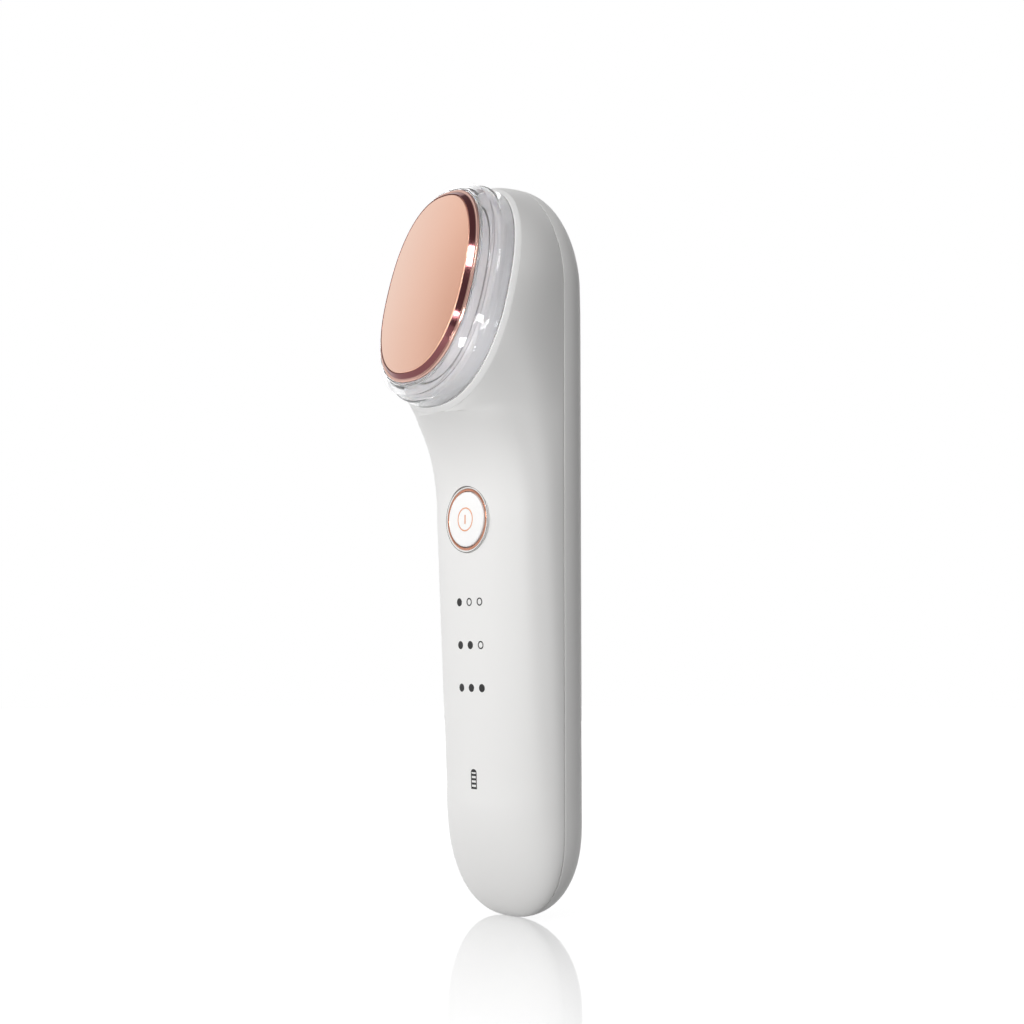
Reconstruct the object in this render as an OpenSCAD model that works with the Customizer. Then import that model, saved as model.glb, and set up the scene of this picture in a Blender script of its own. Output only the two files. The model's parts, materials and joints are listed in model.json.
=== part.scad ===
// Facial toning device: a rounded hand unit with a tilted warm and cool plate,
// a clear light ring, a press button, a vibration motor and a charging socket.
// The origin is the middle of the footprint at the lowest point, +Z runs up the handle and -Y is the front.

/* [Body] */
// Height of the whole body
body_h = 172.4; // [160:0.1:185]
// Half width of the handle and head
half_w = 19.2; // [18.6:0.1:21]
// Depth from the parting plane to the back
back_d = 12; // [11.6:0.1:14]
// Depth of the handle front above the bottom end
front_lo = 10.9; // [10.4:0.1:12.5]
// Depth of the handle front at the button
front_hi = 13.2; // [12.8:0.1:14.5]
// Wall of the front housing and the rear cover
wall = 1.8; // [1.5:0.05:2]
// Height of the rounded bottom end
end_h = 21.5; // [18:0.5:24]
// Height of the rounded top end
top_h = 25; // [23:0.5:27]
// Height over which the back rounds in to the top
back_top_h = 38; // [34:0.5:42]
// Fullness of the cheeks behind the collar
cheek = 0.5; // [0.2:0.05:0.8]
// Distance from the top down to where the neck starts to swell
neck_drop = 79.4; // [76:0.1:82]
// Width of the groove between the two housings
seam_gap = 0.15; // [0.1:0.05:0.5]
// Thickness of the lip that joins the two housings
lip_t = 0.8; // [0.6:0.05:0.9]
// Reach of that lip past the seam
lip_reach = 1.5; // [1:0.1:2.5]

/* [Head] */
// Tilt of the treatment face above the horizontal
tilt = 14.6; // [10:0.1:18]
// Place of the collar centre in front of the parting plane
collar_front = 15.2; // [14:0.1:17]
// Distance from the top of the body down to the collar centre
head_drop = 28.7; // [28:0.1:30]
// Half width of the treatment plate
plate_w = 14.2; // [13.6:0.1:14.6]
// Half height of the treatment plate
plate_h = 22.1; // [21.5:0.1:22.6]
// Rise of the plate's domed face
dome = 0.9; // [0.4:0.1:1.5]
// Thickness of the treatment plate at its rim
plate_t = 1.6; // [1.2:0.1:2]
// Width of the collar round the plate
collar_off = 6; // [5.7:0.1:6.4]
// Stand-off from the collar to the rim of the plate face
plate_s = 11; // [10.5:0.1:12]
// Thickness of the soft gasket under the light ring
gasket_t = 1.3; // [1:0.1:1.6]
// Thickness of the clear light ring
ring_t = 1.1; // [0.9:0.1:1.3]
// Number of lamps on the light ring's board
ring_lamps = 10; // [6:1:14]

/* [Button] */
// Distance from the top of the body down to the button centre
button_drop = 80.1; // [76:0.1:83]
// Diameter of the button cap
cap_d = 12.9; // [11:0.1:13.5]
// Outer diameter of the button bezel
bezel_d = 15.5; // [15:0.1:17]
// Gap round the button cap
cap_gap = 0.15; // [0.1:0.05:0.2]
// Travel of the button
button_travel = 0.3; // [0.2:0.05:0.4]
// How far the bezel stands out of the body
bezel_proud = 0.35; // [0.1:0.05:0.6]

/* [Thermal stack] */
// Side of the square cooling module
module_side = 20; // [18:0.5:20]
// Thickness of the cooling module
module_t = 3.4; // [3:0.1:3.8]
// Thickness of the thermal pad
pad_t = 0.4; // [0.2:0.1:0.6]
// Width of the heat sink base
sink_w = 21.6; // [20:0.2:21.6]
// Height of the heat sink base
sink_h = 29; // [26:0.5:29]
// Length of the heat sink fins
fin_len = 9; // [7:0.5:11]
// Thickness of a heat sink fin
fin_t = 0.8; // [0.6:0.1:1]
// Number of heat sink fins
fins = 9; // [7:1:11]
// Side of the square fan
fan_side = 25; // [24:0.5:25]
// Thickness of the fan
fan_t = 7; // [6:0.5:8]
// Number of fan blades
blades = 7; // [5:1:9]

/* [Inside] */
// Width of the main board
board_w = 21; // [18:0.5:21.5]
// Thickness of the main board
board_t = 1.2; // [1:0.1:1.6]
// Distance from the top of the body down to the end of the main board
board_drop = 64.4; // [62:0.1:68]
// Thickness of the chassis plate
chassis_t = 1.2; // [1:0.1:1.5]
// Width of the battery cell
cell_w = 24; // [20:0.5:24]
// Length of the battery cell
cell_l = 50; // [40:1:50]
// Thickness of the battery cell
cell_t = 5.8; // [4.5:0.1:6]
// Diameter of the vibration motor
motor_d = 7; // [6:0.1:7]
// Length of the vibration motor
motor_l = 14; // [10:0.5:15]
// Width of the charging socket
socket_w = 8.94; // [8.9:0.01:9]
// Thickness of the charging socket
socket_t = 3.26; // [3.2:0.01:3.3]
// Length of the charging socket
socket_l = 8.3; // [7.8:0.1:8.6]
// Height of the charging socket in the back of the handle
port_z = 14; // [13.5:0.1:15]

/* [Vents] */
// Width of a vent slot in the rear cover
vent_w = 1.6; // [1.2:0.1:2]
// Distance from slot to slot
vent_pitch = 3.2; // [2.8:0.1:3.6]
// Diameter of the round field of slots
vent_field = 22; // [18:0.5:24]

/* [Hidden] */
// Heights that keep their place under the top of the body
neck_z = body_h - neck_drop;
collar_z = body_h - head_drop;
button_z = body_h - button_drop;
board_top = body_h - board_drop;
// Depth from the parting plane to the front edge of the plate
face_d = collar_front + plate_s * cos(tilt) + plate_h * sin(tilt);

$fn = 48;
// Small overlap that keeps cuts clean
eps = 0.01;
// Fit left between parts that are pushed together
fit = 0.2;

// Exponents of the rounded forms
end_p = 2.45;
top_p = 1.8;
back_top_p = 2.6;
back_p = 2.55;
front_p_hi = 2.8;
front_p_lo = 2.1;
oval_p = 2.35;
// How much wider the plate is at its lower end
oval_k = 0.03;
// Heights of the front and back end curves and their exponents
front_end_h = end_h + 5.5;
front_end_p = 1.5;
back_end_h = end_h + 0.5;
back_end_p = 1.95;
// Height above which the handle front starts to taper, and the neck's curve
taper_z = 30;
neck_pow = 2.3;
// The section of the neck softens between this height and the collar, to its own exponent
soft_z = 98;
head_p = 2.5;
collar_y = -collar_front;
collar_w = plate_w + collar_off;
collar_h = plate_h + collar_off;
collar_low_z = collar_z - collar_h * cos(tilt);
collar_low_y = collar_front + collar_h * sin(tilt);
collar_top_z = collar_z + collar_h * cos(tilt);
// Steps of the housing mesh
arc_steps = 24;
inner_steps = 12;
end_steps = 11;
// The first and last rings are taken this far inside the tips
tip = 0.12;

// Stations of the head stack along the plate's axis, counted from the collar plane
floor_s = 3;
floor_t = 1.2;
spigot = 3;
board_s = floor_s + 1;
plate_back = plate_s - plate_t;
sink_s = plate_back - pad_t - module_t;
fin_end = floor_s - fin_len;
bevel_w = 1.25;
lip_w = 0.55;
clear_gap = 0.15;

// Layers of the handle, as Y places
pcb_back = -socket_t / 2;
pcb_front = pcb_back - board_t;
chassis_front = 0.4;
chassis_back = chassis_front + chassis_t;
cell_back = chassis_back + cell_t;
cell_z = 20;
button_face = -front_hi - bezel_proud;
bezel_t = 1.3;
port_board_t = 0.8;
flange_t = 0.8;
switch_h = 3.5;
plunger_d = 3.5;
plunger_y = pcb_front - 5;
// Mode lamps under the button, and the battery's lamp below them
lamp_z = [button_z - 19.2, button_z - 29.2, button_z - 39.1, button_z - 60.1];
// Screw places of the chassis and of the board, as [x, z]
boss_low = [12.2, 13.5];
boss_high = [13.4, board_top - 2];
board_low = boss_low[1] + 2.7;
board_hole = [8.3, board_low + 4];
motor_y = chassis_front - motor_d / 2 - 0.3;
motor_z = board_top + 9;
motor_x = -10;
shaft_d = 1;

function unit(v) = min(1, max(0, v));
// Height of a superellipse quarter at a share q of its base
function quarter(q, p) = pow(max(0, 1 - pow(unit(q), p)), 1 / p);
function half_width(z) = half_w * quarter((end_h - z) / end_h, end_p)
    * quarter((z - body_h + top_h) / top_h, top_p);
function back_depth(z) = back_d * quarter((back_end_h - z) / back_end_h, back_end_p)
    * quarter((z - body_h + back_top_h) / back_top_h, back_top_p);
function taper(z) = unit((z - taper_z) / (neck_z - taper_z));
function smooth(v) = v * v * (3 - 2 * v);
function front_p(z) = front_p_lo + (front_p_hi - front_p_lo) * taper(z)
    + (head_p - front_p_hi) * smooth(unit((z - soft_z) / (collar_low_z - soft_z)));
// Distance from the parting plane to the collar plane
function cut_depth(z) = collar_front - (z - collar_z) * tan(tilt);
// Half width of the collar where a level plane crosses it, and its share of the body's width
function collar_u(z) = (z - collar_z) / cos(tilt) / collar_h;
function collar_half(z) = collar_w * quarter(abs(collar_u(z)), oval_p) * (1 - oval_k * collar_u(z));
function share(z) = collar_half(z) / half_width(z);
// The body's own section can take up to about 0.95 of its width at the collar plane
function near_share(z) = share(z) / pow(1 + pow(share(z) / 0.95, 16), 1 / 16);
// Depth of the front: a rounded end, the handle, the neck, then beside the collar the depth at which the
// section meets the collar's edge, and above it a rounded top
function front_depth(z) =
    z <= collar_low_z ? (front_lo + (front_hi - front_lo) * taper(z))
        * quarter((front_end_h - z) / front_end_h, front_end_p)
        + (collar_low_y - front_hi) * pow(unit((z - neck_z) / (collar_low_z - neck_z)), neck_pow)
    : z < collar_top_z ? cut_depth(z) / quarter(near_share(z), head_p)
    : (cut_depth(z) - 0.1) * sqrt(max(0, 1 - pow((z - collar_top_z) / (body_h - collar_top_z), 2)));
// Widening that carries the wall out to the collar's edge
function swell(z) = z < collar_low_z || z > collar_top_z ? 0 : share(z) / near_share(z) - 1;
function root(v, p) = sign(v) * pow(abs(v), 2 / p);
// Beside the collar the wall runs a little past the plane that trims it
function front_point(z, a, w, d, wide) = let (y = -min(cut_depth(z) + 4, d * root(-sin(a), front_p(z))),
        t = unit(-y / cut_depth(z)), full = wide > 0 ? 6.75 * cheek / half_w * (1 - pow(collar_u(z), 2)) : 0)
    [w * root(cos(a), front_p(z)) * (1 + wide * t * t + full * t * t * (1 - t)), y];
function back_point(z, a, w, d) = [w * root(cos(a), back_p), d * root(sin(a), back_p)];
levels = concat(
    [for (j = [0 : end_steps]) front_end_h * (1 - cos(90 * j / end_steps))],
    [for (z = [front_end_h + 14 : 14 : neck_z - 7]) z],
    [for (z = [neck_z : 3.5 : collar_low_z - 1.5]) z],
    [for (j = [0 : 7]) collar_low_z + 0.4 + (body_h - top_h - collar_low_z) * pow(j / 8, 1.5)],
    [for (j = [end_steps : -1 : 3]) body_h - top_h * (1 - cos(90 * j / end_steps))],
    [collar_top_z - 0.3, collar_top_z + 0.15, body_h - 0.8, body_h - 0.3, body_h]);

// A solid of stacked rings of points, closed at both ends
module stack(rings) {
    n = len(rings[0]);
    m = len(rings);
    polyhedron(
        points = [for (r = rings) for (p = r) p],
        faces = concat(
            [[for (j = [0 : n - 1]) j]],
            [for (i = [0 : m - 2]) for (j = [0 : n - 1]) let (k = (j + 1) % n)
                [i * n + j, (i + 1) * n + j, (i + 1) * n + k, i * n + k]],
            [[for (j = [n - 1 : -1 : 0]) (m - 1) * n + j]]));
}

// A point of the outline in plan, drawn in by an inset from the sides and from both ends
function drawn_x(x, inset) = x * (half_w - inset) / half_w;
function drawn_z(z, inset) = inset + z * (body_h - 2 * inset) / body_h;
// The hollow of the front ends lower, below the collar's top
function drop(z) = 2.4 * unit((z - 140) / (body_h - 140));
// The joint between the housings fades out where the ends get slender
function reach(z) = lip_reach * unit(front_depth(z) / 8);

// Points of one half at a height: the skin from one rim to the other, drawn in by an inset
function front_ring(z, h, steps, inset, floor_y) = let (w = half_width(h), d = front_depth(h),
        wide = inset > 0 ? 0 : swell(h), low = drawn_z(z, inset) - (inset > 0 ? drop(z) : 0))
    [for (j = [0 : steps]) let (p = front_point(h, 180 + 180 * j / steps, w, d, wide))
        [drawn_x(p[0], inset), p[1] * (front_hi - inset) / front_hi + floor_y * pow(1 + p[1] / d, 3), low]];
function back_ring(z, h, steps, inset) = let (w = half_width(h), d = back_depth(h), low = drawn_z(z, inset))
    [for (j = [0 : steps]) let (p = back_point(h, 180 * j / steps, w, d))
        [drawn_x(p[0], inset), seam_gap + p[1] * (back_d - inset - seam_gap) / back_d, low]];

// One half of the body as a closed shell. Each ring is a loop: the outer skin, the rim's profile, the inner
// skin and the rim's profile on the other side. The profile is a list of [inset, y].
module half_shell(front) {
    n = arc_steps;
    m = inner_steps;
    rows = [for (z = levels) let (h = min(body_h - tip, max(tip, z)), w = half_width(h), side = front ? -1 : 1,
            clear = front ? 0.1 : 0, y = -reach(h) - clear * unit(front_depth(h) / 2),
            rim = [[wall - lip_t - clear, front ? 0 : seam_gap], [wall - lip_t - clear, y],
                front ? [] : [wall, y]])
        concat(front ? front_ring(z, h, n, 0, 0) : back_ring(z, h, n, 0),
            [for (r = rim) if (len(r) > 0) [side * drawn_x(w, r[0]) * -1, r[1], drawn_z(z, r[0])]],
            [for (j = [m : -1 : 0]) (front ? front_ring(z, h, m, wall, y) : back_ring(z, h, m, wall))[j]],
            [for (j = [len(rim) - 1 : -1 : 0]) let (r = rim[j]) if (len(r) > 0)
                [side * drawn_x(w, r[0]), r[1], drawn_z(z, r[0])]])];
    total = len(rows[0]);
    // Each pair of rim points that face each other across a ring closes the end between the two skins
    k = (total - (n + 1) - (m + 1)) / 2;
    pairs = concat([[0, n]], [for (i = [1 : k]) [total - i, n + i]], [[n + k + 1 + m, n + k + 1]]);
    cap = concat([[for (j = [0 : n]) j]], [for (i = [0 : k])
        [pairs[i][0], pairs[i][1], pairs[i + 1][1], pairs[i + 1][0]]], [[for (j = [0 : m]) n + k + 1 + j]]);
    top = (len(levels) - 1) * total;
    polyhedron(
        points = [for (r = rows) for (p = r) p],
        faces = concat(cap,
            [for (i = [0 : len(levels) - 2]) for (j = [0 : total - 1]) let (q = (j + 1) % total)
                [i * total + j, (i + 1) * total + j, (i + 1) * total + q, i * total + q]],
            [for (f = cap) [for (j = [len(f) - 1 : -1 : 0]) top + f[j]]]));
}

// Everything in the head is drawn lying flat and then set on the collar plane
module on_collar() {
    translate([0, collar_y, collar_z]) rotate([90 - tilt, 0, 0]) children();
}

function oval(w, h, n = 64) = [for (j = [0 : n - 1]) let (a = 360 * j / n, u = root(sin(a), oval_p))
    [w * root(cos(a), oval_p) * (1 - oval_k * u), h * u]];
module oval_plate(off) {
    polygon(oval(plate_w + off, plate_h + off));
}
module oval_band(inner, outer, low, high) {
    translate([0, 0, low]) linear_extrude(high - low) difference() {
        oval_plate(outer);
        oval_plate(inner);
    }
}

// A ring whose profile, a list of [offset, height], runs round the plate's oval
module oval_ring(profile, n = 64) {
    m = len(profile);
    polyhedron(
        points = [for (q = profile) for (p = oval(plate_w + q[0], plate_h + q[0], n)) [p[0], p[1], q[1]]],
        faces = [for (i = [0 : m - 1]) for (j = [0 : n - 1]) let (k = (j + 1) % n, l = (i + 1) % m)
            [i * n + j, l * n + j, l * n + k, i * n + k]]);
}

module along_y(x, z, low, high, r) {
    translate([x, high, z]) rotate([90, 0, 0]) cylinder(r = r, h = high - low);
}

// A bar of the socket's rounded section that lies along Y at the port
module port_bar(w, t, low, high) {
    translate([0, high, port_z]) rotate([90, 0, 0]) linear_extrude(high - low) union() {
        square([w - t, t], center = true);
        for (x = [-1, 1]) translate([x * (w - t) / 2, 0]) circle(t / 2);
    }
}

module bosses(r) {
    for (x = [-1, 1]) {
        along_y(x * boss_low[0], boss_low[1], -5.2, chassis_front, r);
        along_y(x * boss_high[0], boss_high[1], -11.5, chassis_front, r);
    }
}

module front_housing() {
    color("whitesmoke") difference() {
        union() {
            difference() {
                half_shell(true);
                on_collar() translate([-50, -60, 0]) cube([100, 120, 90]);
                on_collar() translate([0, 0, -spigot - 0.4]) linear_extrude(20)
                    oval_plate(collar_off - wall);
            }
            bosses(2.1);
        }
        for (x = [-1, 1]) {
            along_y(x * boss_low[0], boss_low[1], -3.6, 1, 0.7);
            along_y(x * boss_high[0], boss_high[1], -5, 1, 0.7);
        }
        along_y(0, button_z, -30, button_face + bezel_t + 0.05, bezel_d / 2 + 0.05);
        along_y(0, button_z, -30, -3, cap_d / 2 + 1);
    }
}

// Round field of level slots, cut along Y
module vents() {
    rows = floor(vent_field / 2 / vent_pitch);
    for (i = [-rows : rows]) {
        half = sqrt(pow(vent_field / 2, 2) - pow(i * vent_pitch, 2)) - vent_w / 2;
        z = collar_z - 4 + i * vent_pitch;
        for (x = [-1, 1]) along_y(x * half, z, 3, 20, vent_w / 2);
        translate([-half, 3, z - vent_w / 2]) cube([2 * half, 17, vent_w]);
    }
}

module rear_cover() {
    color("gainsboro") difference() {
        half_shell(false);
        port_bar(socket_w + 2 * fit, socket_t + 2 * fit, 3, 20);
        vents();
    }
}

module collar_gasket() {
    color("white") on_collar()
        oval_band(collar_off - wall + 0.05, collar_off - 0.1, 0, gasket_t);
}

module light_ring() {
    // Profile of the clear ring: sloped front, a step and a foot on the gasket
    out = collar_off - 0.8;
    foot = collar_off - wall + 0.1;
    front = plate_s - 1.65;
    inner = bevel_w + lip_w + clear_gap;
    color([0.85, 0.88, 0.92, 0.5]) on_collar() oval_ring([
        [foot, gasket_t], [out, gasket_t], [out - 0.35, 4.9], [out - 0.85, 5.3], [out - 1.05, plate_s - 3.5],
        [out - 1.35, plate_s - 3.2], [inner + 0.3, front], [inner, front - 0.2], [inner, front - ring_t],
        [out - 1.05 - ring_t, plate_s - 4.4], [foot, 4.6]]);
}

module plate_bezel() {
    // A bright bevel falls away from the plate to a rolled lip, and a skirt stands on the lamp board
    edge = bevel_w + lip_w;
    color("rosybrown") on_collar() oval_ring([
        [0.1, plate_s - 0.12], [0.2, plate_s - 0.1], [bevel_w, plate_s - 1.25], [bevel_w + 0.2, plate_s - 1.2],
        [edge, plate_s - 1.45], [edge, plate_s - 1.9], [1.4, plate_s - 2.2], [1.4, board_s],
        [0.4, board_s], [0.4, plate_back - 1.8], [-1.3, plate_back - 1.8], [-1.3, plate_back - 0.8],
        [0.1, plate_back - 0.8]]);
}

module treatment_plate() {
    // Domed face with a small rounded rim
    turns = 6;
    color("lightsalmon") on_collar() stack(concat(
        [for (s = [plate_back, plate_s - 0.35]) [for (p = oval(plate_w, plate_h)) [p[0], p[1], s]]],
        [for (p = [oval(plate_w - 0.12, plate_h - 0.12)]) [for (q = p) [q[0], q[1], plate_s - 0.1]]],
        [for (i = [0 : turns - 1]) let (f = cos(80 * i / turns), c = 0.4)
            [for (p = oval((plate_w - c) * f, (plate_h - c) * f))
                [p[0], p[1], plate_s + dome * (1 - f * f)]]]));
}

module plate_seal() {
    color("dimgray") on_collar() oval_band(-1.2, -0.1, plate_back - 0.8, plate_back);
}

module light_diffuser() {
    color("white") on_collar() oval_ring([
        [3.6, floor_s], [3.95, floor_s], [3.95, 4.7], [3.35, 5.5], [1.6, 5.5], [1.6, 4.9], [3.1, 4.9], [3.6, 4.5]]);
}

module ring_board() {
    color("seagreen") on_collar() oval_band(0, 3.5, floor_s, board_s);
}

module ring_lamps_set() {
    // Each lamp is square to the oval that they stand on
    line = oval(plate_w + 2.4, plate_h + 2.4, 4 * ring_lamps);
    color("lightyellow") on_collar() for (j = [0 : ring_lamps - 1]) {
        p = line[4 * j + 2];
        q = line[4 * j + 3] - line[4 * j + 1];
        translate([p[0], p[1], board_s + 0.4]) rotate(atan2(q[1], q[0])) cube([2.2, 1.3, 0.8], center = true);
    }
}

module head_frame() {
    // Spigot in the housing mouth, and a floor with a window for the fins
    rim = collar_off - wall - 0.2;
    color("silver") on_collar() union() {
        oval_band(rim - 1.2, rim, -spigot, floor_s - floor_t);
        translate([0, 0, floor_s - floor_t]) linear_extrude(floor_t) difference() {
            oval_plate(rim);
            square([sink_w - 1, sink_h - 1], center = true);
        }
    }
}

module centred_block(w, h, low, high) {
    translate([-w / 2, -h / 2, low]) cube([w, h, high - low]);
}

module thermal_pad() {
    color("lightgray") on_collar() centred_block(module_side, module_side, plate_back - pad_t, plate_back);
}

module cooling_module() {
    // Two ceramic faces with a field of couples between them
    face = 0.7;
    low = sink_s;
    high = plate_back - pad_t;
    couple = 1.4;
    count = 5;
    step = (module_side - couple - 1) / (count - 1);
    color("ivory") on_collar() union() {
        centred_block(module_side, module_side, low, low + face);
        centred_block(module_side, module_side, high - face, high);
        for (i = [0 : count - 1]) for (j = [0 : count - 1])
            translate([(i - (count - 1) / 2) * step, (j - (count - 1) / 2) * step, 0])
                centred_block(couple, couple, low + face - eps, high - face + eps);
    }
}

module heat_sink() {
    inner_w = sink_w - 1.6;
    inner_h = sink_h - 1.6;
    pitch = (inner_w - fin_t) / (fins - 1);
    color("darkgray") on_collar() union() {
        centred_block(sink_w, sink_h, floor_s, sink_s);
        for (i = [0 : fins - 1])
            translate([-inner_w / 2 + i * pitch, -inner_h / 2, fin_end])
                cube([fin_t, inner_h, fin_len + eps]);
    }
}

module fan_frame() {
    low = fin_end - fan_t;
    bore = fan_side / 2 - 1;
    color("dimgray") on_collar() difference() {
        union() {
            difference() {
                centred_block(fan_side, fan_side, low, fin_end);
                translate([0, 0, low - 1]) cylinder(r = bore, h = fan_t + 2);
            }
            // Hub with its pin, held by three spokes
            translate([0, 0, low]) cylinder(r = 4, h = 1.2);
            translate([0, 0, low]) cylinder(r = 0.75, h = fan_t - 1);
            for (a = [90 : 120 : 330]) rotate(a) translate([3, -0.8, low]) cube([bore - 2.5, 1.6, 1.2]);
        }
        for (x = [-1, 1]) for (y = [-1, 1])
            translate([x * (bore - 1.4), y * (bore - 1.4), low - 1]) cylinder(r = 1.1, h = fan_t + 2);
    }
}

module fan_rotor() {
    low = fin_end - fan_t + 1.6;
    high = fin_end - 0.6;
    tip_r = fan_side / 2 - 1.6;
    hub_r = 5;
    color("black") on_collar() difference() {
        union() {
            translate([0, 0, low]) cylinder(r = hub_r, h = high - low);
            for (i = [0 : blades - 1]) rotate(360 * (i + 0.2) / blades) intersection() {
                translate([0, 0, low]) difference() {
                    cylinder(r = tip_r, h = high - low);
                    translate([0, 0, -1]) cylinder(r = hub_r - 0.5, h = high - low + 2);
                }
                translate([hub_r - 1, -0.35, (low + high) / 2]) rotate([38, 0, 0])
                    translate([0, 0, -6]) cube([tip_r, 0.7, 12]);
            }
        }
        translate([0, 0, low - 1]) cylinder(r = 0.8, h = high - low + 2);
    }
}

module temperature_sensor() {
    color("saddlebrown") on_collar() translate([0, -module_side / 2 - 3.4, plate_back - 1.2]) {
        rotate([0, 90, 0]) translate([0, 0, -2]) cylinder(r = 1.2, h = 4);
    }
}

module button_bezel() {
    color("rosybrown") difference() {
        translate([0, button_face + bezel_t, button_z]) rotate([90, 0, 0]) rotate_extrude() polygon([
            [cap_d / 2 + cap_gap, 0], [bezel_d / 2, 0], [bezel_d / 2, bezel_t - 0.3],
            [bezel_d / 2 - 0.35, bezel_t], [cap_d / 2 + cap_gap + 0.2, bezel_t],
            [cap_d / 2 + cap_gap, bezel_t - 0.2]]);
    }
}

module power_button() {
    // Shallow domed cap, a flange that the bezel holds back and a stem to the switch
    cap_t = bezel_t + 0.15;
    back = button_face + cap_t;
    color("white") translate([0, back, button_z]) rotate([90, 0, 0]) rotate_extrude() polygon(concat(
        [[0, -flange_t], [cap_d / 2 + 0.75, -flange_t], [cap_d / 2 + 0.75, 0], [cap_d / 2, 0],
            [cap_d / 2, cap_t - 0.3], [cap_d / 2 - 0.3, cap_t]],
        [for (r = [cap_d / 2 - 1.5 : -1.2 : 0.5]) [r, cap_t + 0.2 * (1 - pow(2 * r / cap_d, 2))]],
        [[0, cap_t + 0.2]]));
    color("white") along_y(0, button_z, back + flange_t - eps, plunger_y, 2);
}

module switch_plunger() {
    color("black") along_y(0, button_z, plunger_y, pcb_front - 1.6, plunger_d / 2);
}

module tact_switch() {
    color("gray") difference() {
        translate([-3, pcb_front - switch_h, button_z - 3]) cube([6, switch_h, 6]);
        along_y(0, button_z, pcb_front - switch_h - 1, pcb_front - 1.6 + button_travel + 0.1,
            plunger_d / 2 + 0.05);
    }
}

module board_places() {
    for (x = [-1, 1]) for (z = [board_hole[1], board_top - 4]) translate([x * board_hole[0], 0, z]) children();
}

module main_board() {
    color("darkgreen") difference() {
        translate([-board_w / 2, pcb_front, board_low]) cube([board_w, board_t, board_top - board_low]);
        board_places() along_y(0, 0, pcb_front - 1, pcb_back + 1, 0.8);
    }
}

module chip(x, z, w, h, t) {
    translate([x - w / 2, pcb_front - t, z - h / 2]) cube([w, t, h]);
}

module board_chips() {
    color("black") union() {
        chip(-4, button_z - 10.6, 5, 5, 0.9);
        chip(5, button_z - 12.6, 4, 4, 2);
        chip(4.5, 48, 5, 4, 0.9);
        chip(-5, 46, 3, 3, 1.1);
        chip(5.5, 24, 4, 4, 2);
        chip(-5, 24, 3, 3, 0.9);
    }
}

module mode_lamps() {
    color("lightyellow") for (z = lamp_z) chip(0, z, 1.6, 0.8, 0.7);
}

module light_guide() {
    // One post behind each printed sign, joined by a bar that lies on the lamps
    bar = pcb_front - 0.75;
    color([0.9, 0.95, 1, 0.6]) union() {
        translate([-1.2, bar - 0.9, lamp_z[3] - 2]) cube([2.4, 0.9, lamp_z[0] - lamp_z[3] + 4]);
        for (z = lamp_z) translate([-2, bar - 4.6, z - 1]) cube([4, 4.6, 2]);
    }
}

module screw(length, r, head_r, head_t) {
    // Stands with its head up and the driver recess in it
    difference() {
        union() {
            cylinder(r = head_r, h = head_t);
            translate([0, 0, -length]) cylinder(r = r, h = length + eps);
        }
        for (a = [0, 90]) rotate(a) translate([-head_r * 0.6, -0.15, head_t - 0.35]) cube([head_r * 1.2, 0.3, 1]);
    }
}

module board_screws() {
    color("silver") board_places() translate([0, pcb_front, 0]) rotate([90, 0, 0]) screw(3, 0.6, 1.3, 0.8);
}

module inner_chassis() {
    half = half_w - wall - 1.2;
    color("lightsteelblue") difference() {
        union() {
            translate([0, chassis_back, 0]) rotate([90, 0, 0]) linear_extrude(chassis_t) union() {
                polygon([[-13.4, 9.8], [13.4, 9.8], [half, 18], [half, board_top + 2], [9, board_top + 5],
                    [9, board_top + 15], [-9, board_top + 15], [-9, board_top + 5], [-half, board_top + 2],
                    [-half, 18]]);
            }
            board_places() along_y(0, 0, pcb_back, chassis_front + eps, 1.5);
            // Walls of the battery tray
            for (x = [-1, 1]) translate([x * (cell_w / 2 + 0.8) - 0.5, chassis_back - eps, cell_z - 1])
                cube([1, 2.4, cell_l + 2]);
            translate([-cell_w / 2, chassis_back - eps, cell_z - 1.3]) cube([cell_w, 2.4, 1]);
            translate([-cell_w / 2, chassis_back - eps, cell_z + cell_l + 0.3]) cube([cell_w, 2.4, 1]);
        }
        board_places() along_y(0, 0, pcb_back - 1, chassis_back - 0.5, 0.6);
        for (x = [-1, 1]) for (b = [boss_low, boss_high]) along_y(x * b[0], b[1], -1, 4, 0.95);
        translate([-5, -1, cell_z + cell_l + 8]) cube([10, 5, 12]);
        translate([-6, -1, 24]) cube([12, 5, 40]);
    }
}

module chassis_screws() {
    color("silver") for (x = [-1, 1]) for (b = [boss_low, boss_high])
        translate([x * b[0], chassis_back, b[1]]) rotate([-90, 0, 0]) screw(4, 0.7, 1.5, 0.9);
}

module battery_cell() {
    color("deepskyblue") translate([-cell_w / 2, chassis_back, cell_z]) union() {
        cube([cell_w, cell_t, cell_l - 3]);
        translate([2, 1, 0]) cube([cell_w - 4, cell_t - 2, cell_l]);
    }
}

module battery_foam() {
    color("dimgray") translate([-8, cell_back, cell_z + 5]) cube([16, back_d - wall - cell_back - 0.9, cell_l - 12]);
}

module battery_plug() {
    color("white") translate([-3, chassis_back, cell_z + cell_l + 4]) cube([6, 3, 5]);
}

module vibration_motor() {
    color("silver") difference() {
        translate([motor_x, motor_y, motor_z]) rotate([0, 90, 0]) union() {
            cylinder(r = motor_d / 2, h = motor_l);
            translate([0, 0, motor_l - eps]) cylinder(r = 1.4, h = 0.8);
        }
        translate([motor_x + 4, motor_y, motor_z]) rotate([0, 90, 0])
            cylinder(r = shaft_d / 2 + 0.04, h = motor_l);
    }
}

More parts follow.
